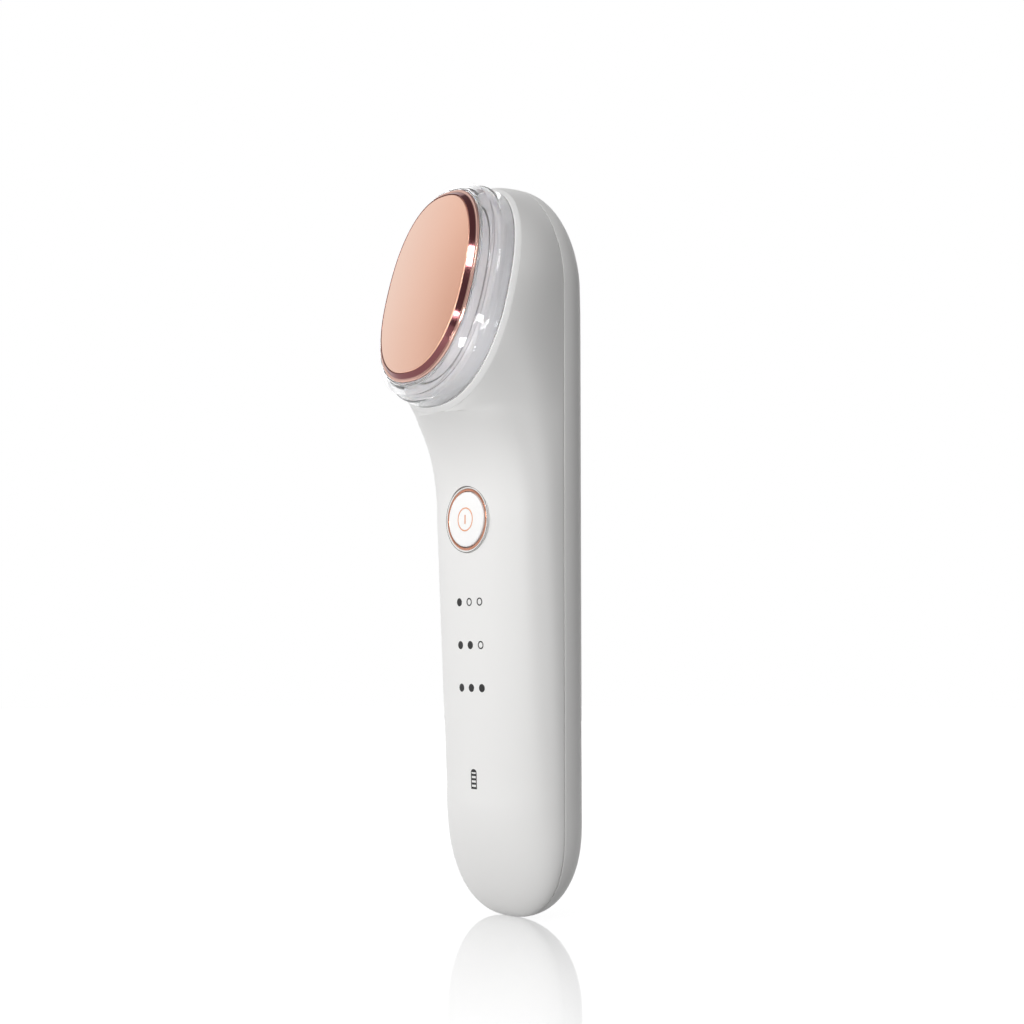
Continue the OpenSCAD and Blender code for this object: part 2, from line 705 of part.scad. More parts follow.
module motor_weight() {
    gap = 1.3;
    color("goldenrod") translate([motor_x, motor_y, motor_z]) rotate([0, 90, 0]) union() {
        translate([0, 0, 5]) cylinder(r = shaft_d / 2, h = motor_l + gap + 4 - 5);
        intersection() {
            translate([0, 0, motor_l + gap]) cylinder(r = motor_d / 2 - 0.5, h = 4);
            translate([-0.7, -10, motor_l]) cube([20, 20, 10]);
        }
    }
}

module motor_clip() {
    color("lightsteelblue") difference() {
        translate([motor_x + 2, motor_y - 1.6, motor_z - motor_d / 2 - 1.3])
            cube([motor_l - 4, chassis_front - motor_y + 1.6, motor_d + 2.6]);
        translate([motor_x, motor_y, motor_z]) rotate([0, 90, 0]) cylinder(r = motor_d / 2 + 0.05, h = motor_l);
        translate([motor_x, motor_y - 5, motor_z - 2.9]) cube([motor_l, 5, 5.8]);
    }
}

module port_board() {
    color("darkgreen") translate([-6.5, chassis_back, port_z - 3.8]) cube([13, port_board_t, 7.6]);
}

module charging_socket() {
    low = chassis_back + port_board_t;
    high = low + socket_l;
    color("silver") difference() {
        port_bar(socket_w, socket_t, low, high);
        port_bar(socket_w - 0.6, socket_t - 0.6, low + 0.5, high + 1);
    }
}

module socket_tongue() {
    low = chassis_back + port_board_t + 0.5;
    color("black") union() {
        translate([-3.35, low, port_z - 0.35]) cube([6.7, socket_l - 1.5, 0.7]);
        translate([-3.35, low, port_z - 1.1]) cube([6.7, 1.5, 2.2]);
    }
}

// The drawing is centred on the parting plane, and is set so that the origin is mid-way from back to front
translate([0, (face_d - back_d) / 2, 0]) {
    front_housing();
    rear_cover();
    collar_gasket();
    light_ring();
    plate_bezel();
    treatment_plate();
    plate_seal();
    light_diffuser();
    ring_board();
    ring_lamps_set();
    head_frame();
    thermal_pad();
    cooling_module();
    heat_sink();
    fan_frame();
    fan_rotor();
    temperature_sensor();
    button_bezel();
    power_button();
    switch_plunger();
    tact_switch();
    main_board();
    board_chips();
    mode_lamps();
    light_guide();
    board_screws();
    inner_chassis();
    chassis_screws();
    battery_cell();
    battery_foam();
    battery_plug();
    vibration_motor();
    motor_weight();
    motor_clip();
    port_board();
    charging_socket();
    socket_tongue();
}
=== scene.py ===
import json
from math import asin, copysign, cos, hypot, pi, radians, sin, sqrt, tan

import bmesh
import bpy
import numpy as np
from mathutils import Matrix, Vector


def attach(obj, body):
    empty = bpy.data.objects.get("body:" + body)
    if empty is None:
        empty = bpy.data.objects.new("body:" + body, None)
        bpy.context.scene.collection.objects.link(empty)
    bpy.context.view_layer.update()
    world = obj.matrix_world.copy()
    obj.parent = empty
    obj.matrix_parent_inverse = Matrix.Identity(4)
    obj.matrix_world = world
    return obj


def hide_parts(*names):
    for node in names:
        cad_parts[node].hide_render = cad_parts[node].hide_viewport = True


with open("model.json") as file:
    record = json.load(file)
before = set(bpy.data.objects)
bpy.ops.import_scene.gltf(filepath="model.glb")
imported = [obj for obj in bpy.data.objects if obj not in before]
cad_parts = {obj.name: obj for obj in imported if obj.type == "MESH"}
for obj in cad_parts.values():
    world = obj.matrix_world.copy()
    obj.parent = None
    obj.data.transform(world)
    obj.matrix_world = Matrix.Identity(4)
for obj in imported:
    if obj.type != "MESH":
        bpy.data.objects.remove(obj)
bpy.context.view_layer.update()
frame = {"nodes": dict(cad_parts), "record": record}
scene = bpy.context.scene
print("frame loaded:", len(frame["nodes"]), "nodes")

# Sizes in millimetres, from the part's own drawing. Heights count from the foot, and depths from the
# parting plane, in front of which Y is negative.
form = {
    "bodyHeight": 172.4, "halfWidth": 19.2, "backDepth": 12.0, "frontLow": 10.9, "frontHigh": 13.2,
    "wall": 1.8, "endHeight": 21.5, "topHeight": 25.0, "backTopHeight": 38.0, "neckZ": 93.0, "taperZ": 30.0,
    "softZ": 98.0, "seamGap": 0.15, "lipThickness": 0.8, "lipReach": 1.5, "tilt": 14.6,
    "collarFront": 15.2, "collarZ": 143.7, "plateWidth": 14.2, "plateHeight": 22.1, "collarOff": 6.0,
    "plateStation": 11.0, "ovalPower": 2.35, "ovalTaper": 0.03, "endPower": 2.45, "topPower": 1.8,
    "backPower": 2.55, "backTopPower": 2.6, "frontPowerHigh": 2.8, "frontPowerLow": 2.1, "headPower": 2.5,
    "frontEndHeight": 27.0, "frontEndPower": 1.5, "backEndHeight": 22.0, "backEndPower": 1.95,
    "neckPower": 2.3, "buttonZ": 92.3, "buttonFace": -13.55, "portZ": 14.0,
    "nearLimit": 0.95, "nearPower": 16, "tip": 0.004, "seamRound": 0.12, "seamDepth": 2.5, "lipDepth": 8,
}
tilt = radians(form["tilt"])
collarWidth = form["plateWidth"] + form["collarOff"]
collarHeight = form["plateHeight"] + form["collarOff"]
collarLowZ = form["collarZ"] - collarHeight * cos(tilt)
collarTopZ = form["collarZ"] + collarHeight * cos(tilt)
collarLowY = form["collarFront"] + collarHeight * sin(tilt)
faceDepth = form["collarFront"] + form["plateStation"] * cos(tilt) + form["plateHeight"] * sin(tilt)
midShift = (faceDepth - form["backDepth"]) / 2  # the row frame's Y is 0 half way through the depth
mm = 0.001


def unit(value):
    return min(1.0, max(0.0, value))


def quarter(share, power):
    return max(0.0, 1 - unit(share) ** power) ** (1 / power)


def root(value, power):
    return copysign(abs(value) ** (2 / power), value)


def halfWidth(z):
    low = (form["endHeight"] - z) / form["endHeight"]
    high = (z - form["bodyHeight"] + form["topHeight"]) / form["topHeight"]
    return form["halfWidth"] * quarter(low, form["endPower"]) * quarter(high, form["topPower"])


def backDepth(z):
    low = (form["backEndHeight"] - z) / form["backEndHeight"]
    high = (z - form["bodyHeight"] + form["backTopHeight"]) / form["backTopHeight"]
    return form["backDepth"] * quarter(low, form["backEndPower"]) * quarter(high, form["backTopPower"])


def taper(z):
    return unit((z - form["taperZ"]) / (form["neckZ"] - form["taperZ"]))


def frontPower(z):
    soft = unit((z - form["softZ"]) / (collarLowZ - form["softZ"]))
    return (form["frontPowerLow"] + (form["frontPowerHigh"] - form["frontPowerLow"]) * taper(z)
            + (form["headPower"] - form["frontPowerHigh"]) * soft * soft * (3 - 2 * soft))


def besideCollar(z):
    return collarLowZ < z < collarTopZ


def cutDepth(z):  # depth of the tilted face that the collar stands on
    return form["collarFront"] - (z - form["collarZ"]) * tan(tilt)


def collarUp(z):
    return (z - form["collarZ"]) / cos(tilt) / collarHeight


def collarHalf(z):
    up = collarUp(z)
    return collarWidth * quarter(abs(up), form["ovalPower"]) * (1 - form["ovalTaper"] * up)


def nearShare(z):  # the collar's share of the body's width, held softly under its limit
    share = collarHalf(z) / halfWidth(z)
    return share / (1 + (share / form["nearLimit"]) ** form["nearPower"]) ** (1 / form["nearPower"])


def frontDepth(z):
    if z <= collarLowZ:
        handle = form["frontLow"] + (form["frontHigh"] - form["frontLow"]) * taper(z)
        low = (form["frontEndHeight"] - z) / form["frontEndHeight"]
        rise = unit((z - form["neckZ"]) / (collarLowZ - form["neckZ"])) ** form["neckPower"]
        return handle * quarter(low, form["frontEndPower"]) + (collarLowY - form["frontHigh"]) * rise
    if besideCollar(z):
        return cutDepth(z) / quarter(nearShare(z), form["headPower"])
    rise = (z - collarTopZ) / (form["bodyHeight"] - collarTopZ)
    return cutDepth(z) * sqrt(max(0.0, 1 - rise * rise))


def swell(z):  # how far the head swells past the body's own width to carry the collar
    return collarHalf(z) / halfWidth(z) / nearShare(z) - 1 if besideCollar(z) else 0.0


def frontFace(x, z):  # depth of the handle's front at a place on it
    share = min(1.0, abs(x) / halfWidth(z))
    power = frontPower(z)
    return -frontDepth(z) * (1 - share ** power) ** (1 / power)


def insideEnds(z):
    return min(form["bodyHeight"] - form["tip"], max(form["tip"], z))


def seamSize(depth):
    return form["seamRound"] * unit(depth / form["seamDepth"])


def lipReach(z):
    return form["lipReach"] * unit(frontDepth(z) / form["lipDepth"])


def drawn(x, y, z, inset):  # a point of the outer skin, drawn in by a wall
    return [x * (form["halfWidth"] - inset) / form["halfWidth"], y,
            inset + z * (form["bodyHeight"] - 2 * inset) / form["bodyHeight"]]


def easedFrom(height, steps):  # distances from an end, closest together at the end itself
    return [height * (1 - cos(pi / 2 * j / steps)) for j in range(steps + 1)]


def curveBetween(start, corner, end, steps):  # a soft corner, ends left out
    places = list(zip(start, corner, end))
    rows = []
    for t in [i / (steps + 1) for i in range(1, steps + 1)]:
        rows.append([(1 - t) ** 2 * a + 2 * t * (1 - t) * b + t * t * c for a, b, c in places])
    return rows


def seamCurve(side, z, start, end, seam):  # the rounded edge, from the wall's end to the parting face
    curve = curveBetween([0.0, start], [0.0, end], [seam, end], 3) + [[seam, end]]
    return [drawn(side, y, z, inset) for inset, y in curve]


def turnsOf(steps, shift=0.0):
    return [2 * pi * (j + shift) / steps for j in range(steps)]


def circle(radius, steps=40, z=0.0):
    return [(radius * cos(turn), z + radius * sin(turn)) for turn in turnsOf(steps)]


def slotOutline(halfLength, halfThickness, centreZ, steps=16):
    outline = []
    for side in (1, -1):
        for j in range(steps + 1):
            angle = pi * j / steps - side * pi / 2
            outline.append((side * (halfLength - halfThickness) + halfThickness * cos(angle),
                            centreZ + halfThickness * sin(angle)))
    return outline


def upright(u, v, depth):  # a place given across, up and in depth
    return u, depth, v


def onCollar(x, up, station):  # a place given on the tilted face, station counts outwards
    return (x, -form["collarFront"] + up * sin(tilt) - station * cos(tilt),
            form["collarZ"] + up * cos(tilt) + station * sin(tilt))


def ovalPoint(width, height, angle):
    up = root(sin(angle), form["ovalPower"])
    return width * root(cos(angle), form["ovalPower"]) * (1 - form["ovalTaper"] * up), height * up


# Mesh helpers. Points come in millimetres on the drawing and leave in metres in the row frame.
def rowFrame(points):
    places = np.array(points, float).reshape(-1, 3)
    places[:, 1] += midShift
    return places * mm


def linked(name, data):
    piece = bpy.data.objects.new(name, data)
    scene.collection.objects.link(piece)
    return piece


def newPiece(name, points, faces, material, sharp=32, placed=False, recalc=True):
    mesh = bpy.data.meshes.new(name)
    mesh.from_pydata([tuple(p) for p in (points if placed else rowFrame(points))], [], faces)
    piece = linked(name, mesh)
    piece.data.materials.append(material)
    if recalc:
        cleanMesh(piece)
    smoothShade(piece, sharp)
    return piece


def cleanMesh(piece):
    solid = bmesh.new()
    solid.from_mesh(piece.data)
    bmesh.ops.remove_doubles(solid, verts=solid.verts, dist=2e-6)
    bmesh.ops.dissolve_degenerate(solid, edges=solid.edges, dist=1e-6)
    bmesh.ops.recalc_face_normals(solid, faces=solid.faces)
    solid.to_mesh(piece.data)
    solid.free()


def smoothShade(piece, sharp):
    mesh = piece.data
    mesh.polygons.foreach_set("use_smooth", [True] * len(mesh.polygons))
    mesh.set_sharp_from_angle(angle=radians(sharp))


def bakeModifiers(piece):  # the modifiers' result as a plain mesh
    graph = bpy.context.evaluated_depsgraph_get()
    graph.update()
    mesh = bpy.data.meshes.new_from_object(piece.evaluated_get(graph))
    piece.modifiers.clear()
    old = piece.data
    piece.data = mesh
    bpy.data.meshes.remove(old)
    mesh.name = piece.name
    return piece


def cutWith(piece, parts, sharp=32):  # parts are points and faces, joined into one cutter
    cutter = joinPieces("cutter", [newPiece("part", *part, finishes["white_shell"]) for part in parts])
    step = piece.modifiers.new("cut", "BOOLEAN")
    step.operation, step.solver, step.object = "DIFFERENCE", "EXACT", cutter
    bakeModifiers(piece)
    bpy.data.objects.remove(cutter)
    smoothShade(piece, sharp)


def joinPieces(name, pieces):
    whole = bmesh.new()
    for piece in pieces:
        whole.from_mesh(piece.data)
    mesh = bpy.data.meshes.new(name)
    whole.to_mesh(mesh)
    whole.free()
    joined = linked(name, mesh)
    joined.data.materials.append(pieces[0].data.materials[0])
    for piece in pieces:
        bpy.data.objects.remove(piece)
    return joined


def allPoints(rings):
    return [point for ring in rings for point in ring]


def loft(rings, closed=True):  # faces between rings that have the same count of points
    count = len(rings[0])
    faces = []
    for i in range(len(rings) - 1):
        for j in range(count if closed else count - 1):
            k = (j + 1) % count
            faces.append((i * count + j, i * count + k, (i + 1) * count + k, (i + 1) * count + j))
    return faces


def capped(rings):
    count, last = len(rings[0]), (len(rings) - 1) * len(rings[0])
    return loft(rings) + [tuple(range(count)), tuple(last + j for j in reversed(range(count)))]


def turned(profile, centreZ, steps):  # a shape turned about a line along Y, profile is [radius, y]
    rings = []
    for turn in turnsOf(steps):
        rings.append([(r * cos(turn), y, centreZ + r * sin(turn)) for r, y in profile])
    rings.append(rings[0])
    reachesAxis = any(abs(r) < 1e-9 for r, _ in profile)
    return allPoints(rings), loft(rings, closed=not reachesAxis)


def prism(outline, low, high, give):  # outline is [u, v], give turns u, v and depth into a point
    rings = [[give(u, v, depth) for u, v in outline] for depth in (low, high)]
    return allPoints(rings), capped(rings)


def roundCorners(profile, radii, steps=3):
    done = []
    count = len(profile)
    for i, radius in enumerate(radii):
        if radius <= 0:
            done.append(list(profile[i]))
            continue
        point, back, ahead = (np.array(profile[k % count], float) for k in (i, i - 1, i + 1))
        lengths = [np.linalg.norm(other - point) for other in (back, ahead)]
        reach = min(radius, 0.45 * min(lengths))  # two corners fit on one edge
        start = point + (back - point) / lengths[0] * reach
        end = point + (ahead - point) / lengths[1] * reach
        done += [list(start)] + curveBetween(start, point, end, steps) + [list(end)]
    return done


def mirroredLoft(rows):
    # Closes each half row with its mirror image, and the first and last rows with rungs from side to side
    count = len(rows[0])
    points = []
    for row in rows:
        points += row + [[-x, y, z] for x, y, z in row[-2:0:-1]]
    ring = 2 * count - 2
    faces = loft([points[i * ring:(i + 1) * ring] for i in range(len(rows))])
    for start in (0, (len(rows) - 1) * ring):
        for j in range(count - 1):
            rung = [start + j, start + j + 1, start + (ring - j - 1) % ring, start + (ring - j) % ring]
            faces.append(tuple(dict.fromkeys(rung)))
    return points, faces


def assign(piece, body, slot, *nodes):  # the body it moves with, its record slot and the nodes it stands for; slot is not used
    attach(piece, body)
    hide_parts(*nodes)


# Node helpers: a wire is a socket that takes part in sums, a graph makes every other node.
class Wire:
    def __init__(self, graph, socket):
        self.graph, self.socket = graph, socket

    def sum(self, operation, first, second=None):
        values = {0: first} if second is None else {0: first, 1: second}
        return self.graph.add("ShaderNodeMath", values, {"operation": operation})

    def __add__(self, other): return self.sum("ADD", self, other)
    def __radd__(self, other): return self.sum("ADD", other, self)
    def __sub__(self, other): return self.sum("SUBTRACT", self, other)
    def __rsub__(self, other): return self.sum("SUBTRACT", other, self)
    def __mul__(self, other): return self.sum("MULTIPLY", self, other)
    def __rmul__(self, other): return self.sum("MULTIPLY", other, self)
    def __truediv__(self, other): return self.sum("DIVIDE", self, other)
    def __rtruediv__(self, other): return self.sum("DIVIDE", other, self)
    def __pow__(self, other): return self.sum("POWER", self, other)
    def __abs__(self): return self.sum("ABSOLUTE", self)
    def sine(self): return self.sum("SINE", self)
    def cosine(self): return self.sum("COSINE", self)
    def sign(self): return self.sum("SIGN", self)
    def clamped(self): return self.graph.add("ShaderNodeClamp", {0: self})


class Graph:
    def __init__(self, tree):
        self.tree = tree

    def add(self, kind, values=None, settings=None, out=0):
        node = self.tree.nodes.new(kind)
        for key, value in (settings or {}).items():
            setattr(node, key, value)
        for key, value in (values or {}).items():
            if isinstance(value, Wire):
                self.tree.links.new(value.socket, node.inputs[key])
            else:
                node.inputs[key].default_value = value
        return Wire(self, node.outputs[out])

    def spot(self):
        return self.add("ShaderNodeTexCoord", out="Object")

    def mix(self, factor, first, second):
        first, second = (colour if isinstance(colour, Wire) else rgba(colour) for colour in (first, second))
        return self.add("ShaderNodeMix", {0: factor, 6: first, 7: second}, {"data_type": "RGBA"}, out=2)

    def noise(self, spot, scale, detail, roughness=0.5):
        values = {"Vector": spot, "Scale": scale, "Detail": detail, "Roughness": roughness}
        return self.add("ShaderNodeTexNoise", values)

    def bump(self, height, strength, distance=0.00002):
        values = {"Strength": strength, "Distance": distance, "Height": height}
        return self.add("ShaderNodeBump", values)

    def end(self, wire, kind="ShaderNodeOutputMaterial"):
        node = self.tree.nodes.new(kind)
        self.tree.links.new(wire.socket, node.inputs[0])

    def surface(self, values):
        self.end(self.add("ShaderNodeBsdfPrincipled", values))


def rgba(colour):
    return (*colour, 1)


def freshGraph(name):
    material = bpy.data.materials.new(name)
    material.use_nodes = True
    material.node_tree.nodes.clear()
    return material, Graph(material.node_tree)


# Geometry Nodes: each tree takes a shape, its sizes and a finish, and ends in one real mesh with that finish
socketKinds = {"Geometry": "NodeSocketGeometry", "Count": "NodeSocketInt", "Finish": "NodeSocketMaterial"}


def startTree(name, sizes):
    tree = bpy.data.node_groups.new(name, "GeometryNodeTree")
    tree.is_modifier = True
    for title in ["Geometry"] + sizes + ["Finish"]:
        tree.interface.new_socket(name=title, socket_type=socketKinds.get(title, "NodeSocketFloat"))
    tree.interface.new_socket(name="Geometry", in_out="OUTPUT", socket_type="NodeSocketGeometry")
    graph = Graph(tree)
    enter = tree.nodes.new("NodeGroupInput")
    return graph, {socket.name: Wire(graph, socket) for socket in enter.outputs}


def endTree(graph, given, shape):
    real = graph.add("GeometryNodeRealizeInstances", {"Geometry": shape})
    done = graph.add("GeometryNodeSetMaterial", {"Geometry": real, "Material": given["Finish"]})
    graph.end(done, "NodeGroupOutput")
    return graph.tree


def runTree(piece, tree, values):
    step = piece.modifiers.new(tree.name, "NODES")
    step.node_group = tree
    for item in tree.interface.items_tree:
        if item.name in values:
            step[item.identifier] = values[item.name]
    return bakeModifiers(piece)


# Camera, lights and surroundings
view = {
    "azimuth": 49.8, "elevation": -4.4, "distance": 0.43, "lens": 63.49, "sensor": 36,
    "target": (0.0, 0.010278, 0.09473), "nearest": 0.01, "farthest": 20,
    "lampDistance": 1.1, "lampWidth": 0.75, "lampHeight": 0.9, "fill": 0.36, "cardEdge": 5000.0,
}
lamps = {"keyLight": (-30.0, 5.0, 10.3), "sideLight": (-90.0, 5.0, 4.5), "backLight": (180.0, 20.0, 6.0)}
# Cards that the metal and the clear ring mirror, and the table doesn't: turn, rise, distance, width, height
# and brightness
cards = {
    "sideCard": (104, 0, 0.55, 0.75, 1.1, (0.03, 0.022, 0.024)),
    "cameraCard": (14, 22, 0.6, 0.62, 0.75, (0.36, 0.32, 0.33)),
    "topCard": (0, 80, 0.45, 0.55, 0.6, (0.34, 0.3, 0.31)),
    "plateCard": (-76, 8, 0.5, 0.32, 0.6, (0.55, 0.5, 0.475)),
    "upperWindow": (-1, 43, 0.5, 0.06, 0.08, (30, 30, 30)),
    "middleWindow": (43, 2, 0.5, 0.34, 0.045, (20, 20, 20)),
    "ringWindow": (-23, 5, 0.5, 0.06, 0.06, (30, 30, 30)),
    "lowerWindow": (-5, 15.8, 0.5, 0.08, 0.05, (30, 30, 30)),
}
# A mirror share of 0.474 or more makes the denoiser draw a faint line across the reflection
table = {"shade": 0.3, "near": 0.17, "nearEnd": 0.7, "mirror": 0.47, "mirrorEnd": 0.21, "roughness": 0.035,
         "radius": 1.6, "sunk": 0.00003}
white = (1, 1, 1, 1)


def cameraAxes():
    a, e = radians(view["azimuth"]), radians(view["elevation"])
    back = Vector((sin(a) * cos(e), -cos(a) * cos(e), sin(e)))
    right = Vector((cos(a), sin(a), 0))
    return right, back.cross(right), back


def makeCamera():
    right, up, back = cameraAxes()
    lens = bpy.data.cameras.new("camera")
    lens.lens, lens.sensor_width, lens.sensor_fit = view["lens"], view["sensor"], "HORIZONTAL"
    lens.clip_start, lens.clip_end = view["nearest"], view["farthest"]
    camera = linked("camera", lens)
    spot = Vector(view["target"]) + back * view["distance"]
    camera.matrix_world = Matrix([[right[i], up[i], back[i], spot[i]] for i in range(3)] + [[0, 0, 0, 1]])
    scene.camera = camera


def facing(turn, rise):  # unit direction, turned to the right of the camera and lifted, in degrees
    right, _, back = cameraAxes()
    level = Vector((back.x, back.y, 0)).normalized()
    t, r = radians(turn), radians(rise)
    return (level * cos(t) + right * sin(t)) * cos(r) + Vector((0, 0, 1)) * sin(r)


def makeLamp(name, turn, rise, power):
    light = bpy.data.lights.new(name, "AREA")
    light.shape, light.energy = "RECTANGLE", power
    light.size, light.size_y = view["lampWidth"], view["lampHeight"]
    lamp = linked(name, light)
    way = facing(turn, rise)
    lamp.location = Vector(view["target"]) + way * view["lampDistance"]
    lamp.rotation_euler = way.to_track_quat("Z", "Y").to_euler()
    lamp.visible_glossy = False


def ray(graph, reading):
    return graph.add("ShaderNodeLightPath", out=reading)


def seenShare(graph):  # camera, metal and glass all see the white surroundings
    seen = ray(graph, "Is Camera Ray") + ray(graph, "Is Glossy Ray") + ray(graph, "Is Transmission Ray")
    return seen.clamped()


def makeWorld():
    world = bpy.data.worlds.new("studio")
    scene.world = world
    world.use_nodes = True
    world.node_tree.nodes.clear()
    graph = Graph(world.node_tree)
    strength = seenShare(graph) * (1 - view["fill"]) + view["fill"]
    sky = graph.add("ShaderNodeBackground", {"Color": white, "Strength": strength})
    graph.end(sky, "ShaderNodeOutputWorld")


def makeTable():
    # Pale glossy table: it keeps the soft shadow, and mirrors the foot for a short way
    material, graph = freshGraph("paleTable")
    spot = graph.spot()
    away = graph.add("ShaderNodeVectorMath", {0: spot}, {"operation": "LENGTH"}, out="Value")
    fade = (1 - away / table["mirrorEnd"]).clamped()
    glow = 1 - (1 - away / table["nearEnd"]).clamped() * table["near"]
    matte = graph.add("ShaderNodeBsdfDiffuse", {"Color": rgba((table["shade"],) * 3)})
    pale = graph.add("ShaderNodeEmission", {"Color": white, "Strength": seenShare(graph) * glow})
    lit = graph.add("ShaderNodeAddShader", {0: matte, 1: pale})
    gloss = graph.add("ShaderNodeBsdfGlossy", {"Color": white, "Roughness": table["roughness"]})
    mirror = ray(graph, "Is Camera Ray") * (fade * table["mirror"])
    graph.end(graph.add("ShaderNodeMixShader", {0: mirror, 1: lit, 2: gloss}))
    disc = [(x, y, -table["sunk"]) for x, y in circle(table["radius"], 64)]
    newPiece("tableTop", disc, [tuple(range(len(disc)))], material, placed=True, recalc=False)


def makeCard(name, turn, rise, distance, width, height, colour):
    material, graph = freshGraph(name)

    def upShare(reading):
        vector = graph.add("ShaderNodeNewGeometry", out=reading)
        return graph.add("ShaderNodeSeparateXYZ", {0: vector}, out="Z")

    # height at which the ray set out: one that starts on the table passes through
    start = upShare("Position") + upShare("Incoming") * ray(graph, "Ray Length")
    shown = (start * view["cardEdge"]).clamped()
    lit = graph.add("ShaderNodeEmission", {"Color": rgba(colour), "Strength": 1.0})
    clear = graph.add("ShaderNodeBsdfTransparent")
    graph.end(graph.add("ShaderNodeMixShader", {0: shown, 1: clear, 2: lit}))
    way = facing(turn, rise)
    side = way.cross(Vector((0, 0, 1))).normalized()
    middle = Vector(view["target"]) + way * distance
    up = side.cross(way)
    ends = ((-1, -1), (1, -1), (1, 1), (-1, 1))
    corners = [middle + side * a * width / 2 + up * b * height / 2 for a, b in ends]
    card = newPiece(name, corners, [(0, 1, 2, 3)], material, placed=True, recalc=False)
    card.visible_camera = card.visible_diffuse = card.visible_shadow = False


makeCamera()
makeWorld()
for name, lamp in lamps.items():
    makeLamp(name, *lamp)
makeTable()
for name, card in cards.items():
    makeCard(name, *card)
scene.view_settings.view_transform = "Standard"
print("camera, light and table made")

# Finishes: what a look doesn't name comes from the usual one
usual = {"spread": 0.02, "driftScale": 45.0, "grainScale": 2200.0, "roughSpread": 0.08, "bump": 0.12,
         "metallic": 0.0, "ior": 1.46, "specular": 0.5, "coatRoughness": 0.08}
# A look for each plain slot of the record, and four for the skirt, the fine line of painted gap shade and the
# printed marks: its colour, its roughness and what isn't as usual
looks = {
    "white_shell": ((0.86, 0.855, 0.845), 0.42, {"spread": 0.006, "specular": 0.35, "bump": 0.10,
                                                 "grainScale": 3200.0, "roughSpread": 0.06}),
    "white_cap": ((0.97, 0.966, 0.958), 0.34, {"spread": 0.004, "bump": 0.05}),
    "soft_white": ((0.96, 0.957, 0.95), 0.55, {"spread": 0.01, "bump": 0.2}),
    "light_guide": ((0.92, 0.95, 0.97), 0.1, {"clear": 0.85, "ior": 1.49, "bump": 0.03}),
    "diffuser": ((0.88, 0.86, 0.87), 0.5, {"subsurface": 0.3}),
    "bare_aluminium": ((0.78, 0.785, 0.79), 0.32, {"metallic": 1.0, "stretch": (1.0, 1.0, 14.0), "bump": 0.25,
                                                   "roughSpread": 0.2}),
    "steel": ((0.66, 0.655, 0.645), 0.26, {"metallic": 1.0, "stretch": (1.0, 9.0, 1.0), "roughSpread": 0.16}),
    "weight_metal": ((0.55, 0.43, 0.25), 0.38, {"metallic": 1.0, "bump": 0.3}),
    "grey_plastic": ((0.52, 0.53, 0.55), 0.5, {"bump": 0.22}),
    "frame_white": ((0.84, 0.835, 0.85), 0.45, {"bump": 0.1}),
    "black_plastic": ((0.035, 0.035, 0.037), 0.46, {"bump": 0.25}),
    "switch_metal": ((0.3, 0.3, 0.31), 0.35, {"metallic": 0.6}),
    "board_green": ((0.03, 0.2, 0.085), 0.3, {"fleck": (0.10, 0.34, 0.15), "fleckScale": 420.0, "coat": 0.4}),
    "board_white": ((0.84, 0.84, 0.82), 0.35, {"fleck": (0.62, 0.6, 0.52), "fleckScale": 500.0}),
    "lamp_yellow": ((0.95, 0.88, 0.55), 0.2, {"subsurface": 0.2}),
    "ceramic": ((0.88, 0.875, 0.84), 0.55, {"bump": 0.3}),
    "pad_grey": ((0.5, 0.52, 0.54), 0.7, {"bump": 0.4}),
    "sensor_amber": ((0.4, 0.17, 0.05), 0.18, {"coat": 0.6}),
    "foil_blue": ((0.12, 0.27, 0.52), 0.28, {"coat": 0.3, "bump": 0.3, "grainScale": 700.0}),
    "foam_black": ((0.045, 0.045, 0.047), 0.9, {"bump": 0.8, "grainScale": 1500.0}),
    "plug_white": ((0.84, 0.83, 0.79), 0.4, {}),
    "skirtSilver": ((0.90, 0.88, 0.885), 0.16, {"metallic": 1.0, "bump": 0.03}),
    # painted shade: a grey for the shadow in the gap round the button rim
    "paintedGapShade": ((0.16, 0.155, 0.15), 0.5, {"bump": 0.05}),
    "inkBlack": ((0.012, 0.012, 0.013), 0.5, {"bump": 0.05}),
    "inkRose": ((0.78, 0.36, 0.20), 0.4, {"bump": 0.05}),
}


def finish(name, base, roughness, chosen):
    # A moulded, plated or coated surface: two close colours drift over it, fine grain lifts it
    look = {**usual, **chosen}
    material, graph = freshGraph(name)
    spot = graph.spot()
    if "stretch" in look:  # brushed or drawn surfaces have a grain longer one way
        spot = graph.add("ShaderNodeMapping", {"Vector": spot, "Scale": look["stretch"]})
    drift = graph.noise(spot, look["driftScale"], 3.0, 0.55)
    grain = graph.noise(spot, look["grainScale"], 4.0, 0.6)
    cool, warm = (tuple(np.clip(np.array(base) * (1 + side * look["spread"]), 0, 1)) for side in (-1, 1))
    colour = graph.mix(drift, cool, warm)
    if "fleck" in look:  # scattered darker or lighter specks
        cells = graph.add("ShaderNodeTexVoronoi", {"Vector": spot, "Scale": look["fleckScale"]})
        colour = graph.mix(((0.16 - cells) * 12).clamped(), colour, look["fleck"])
    values = {"Base Color": colour, "Roughness": roughness + (grain - 0.5) * look["roughSpread"],
              "Metallic": look["metallic"], "Normal": graph.bump(grain, look["bump"]), "IOR": look["ior"],
              "Specular IOR Level": look["specular"]}
    if "coat" in look:
        values.update({"Coat Weight": look["coat"], "Coat Roughness": look["coatRoughness"]})
    if "clear" in look:
        values["Transmission Weight"] = look["clear"]
    if "subsurface" in look:
        values.update({"Subsurface Weight": look["subsurface"], "Subsurface Radius": (0.9, 0.8, 0.7),
                       "Subsurface Scale": 0.0008})
    graph.surface(values)
    return material


